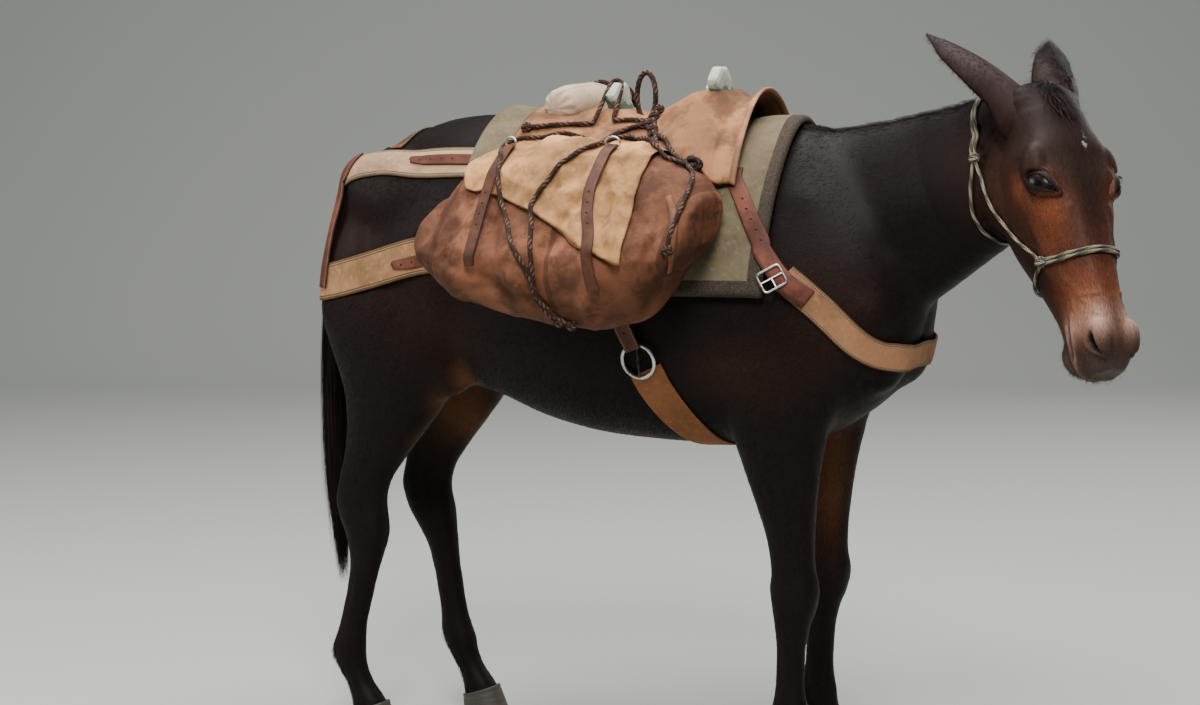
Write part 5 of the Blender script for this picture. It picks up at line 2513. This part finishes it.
dress(loop, lash_finish, ["rope_loop"])
print("lash ropes", len(LASHINGS) * 2 + 1)

# %% [markdown]
# ## The halter
# One thin rope, doubled over the nose and behind the ears, with a knot wherever two parts meet. A knot here
# is a few turns of the same rope round a ball, which reads as tied where a plain ball wouldn't.

# %% Rope halter
HALTER = (
    ("crown", ((0.052, -0.085, -0.2), (0.003, -0.078, -0.19), (-0.066, -0.055, -0.19),
               (-0.105, 0.0, -0.18), (-0.066, 0.055, -0.19), (0.003, 0.078, -0.19),
               (0.052, 0.085, -0.2)), 9),
    ("cheek_right", ((0.052, -0.085, -0.2), (0.166, -0.075, -0.181), (0.243, -0.065, -0.158),
                     (0.338, -0.063, -0.09)), 6),
    ("cheek_left", ((0.052, 0.085, -0.2), (0.166, 0.075, -0.181), (0.243, 0.065, -0.158),
                    (0.338, 0.063, -0.09)), 6),
    ("nose", ((0.338, -0.063, -0.09), (0.352, -0.058, -0.04), (0.36, -0.038, 0.002), (0.358, 0.0, 0.014),
              (0.36, 0.038, 0.002), (0.352, 0.058, -0.04), (0.338, 0.063, -0.09)), 9),
    ("chin", ((0.338, -0.063, -0.09), (0.346, -0.06, -0.15), (0.355, 0.0, -0.208),
              (0.346, 0.06, -0.15), (0.338, 0.063, -0.09)), 7),
    ("throat", ((0.052, -0.085, -0.2), (0.118, -0.08, -0.245), (0.15, -0.045, -0.275),
                (0.155, 0.0, -0.285), (0.15, 0.045, -0.275), (0.118, 0.08, -0.245),
                (0.052, 0.085, -0.2)), 9),
)
HALTER_KNOTS = ((0.052, 0.085, -0.200), (0.338, 0.063, -0.090))
HALTER_ROPE_RADIUS = 0.0040
DOUBLED = ("crown", "nose")
HALTER_LAY = {"lay": 0.020, "strands": 4}
halter_finish = rope_finish("halter_rope", (0.060, 0.050, 0.038), (0.42, 0.36, 0.25), 1.6, **HALTER_LAY)
face_tree = tree_of([skin])
cords = []
for name, route, count in HALTER:
    line = from_head(np.array(route)) - shift
    line, out = laid(line, face_tree, count * 6, HALTER_ROPE_RADIUS + 0.001)
    beside = unit(np.cross(np.gradient(line, axis=0), out)) * HALTER_ROPE_RADIUS * 0.9
    for offset in ((-1, 1) if name in DOUBLED else (0,)):
        strand = softened(line + beside * offset, 2)
        cords.append(rope(name, strand, HALTER_ROPE_RADIUS * 0.92, sides=16, **HALTER_LAY))
for place in HALTER_KNOTS:
    for _, sign in SIDES:
        spot, _ = pressed(from_head(np.array(place) * [1, sign, 1]), face_tree, HALTER_ROPE_RADIUS + 0.002)
        cords.append(rope("knot", knot_line(spot, 0.0085), HALTER_ROPE_RADIUS * 0.9, sides=12, **HALTER_LAY))
dress(together("halter_rope", cords), halter_finish, ["halter"])
print("halter", sum(len(mesh.polygons) for mesh in cords), "faces")

# %% [markdown]
# ## Measure and finish
# The dressed animal has to stay as big as its solids, so both boxes are kept side by side in a file.

# %% Compare the two boxes and close the frame
DRESSED_BOX = [list(corner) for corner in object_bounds()]
grown = np.round(1000 * (np.array(DRESSED_BOX) - np.array(SOLID_BOX)), 1)
print("dressed box less the solids' box, millimetres:", grown.tolist())
print("solids still showing:", [name for name, node in NODES.items() if not node.hide_render])
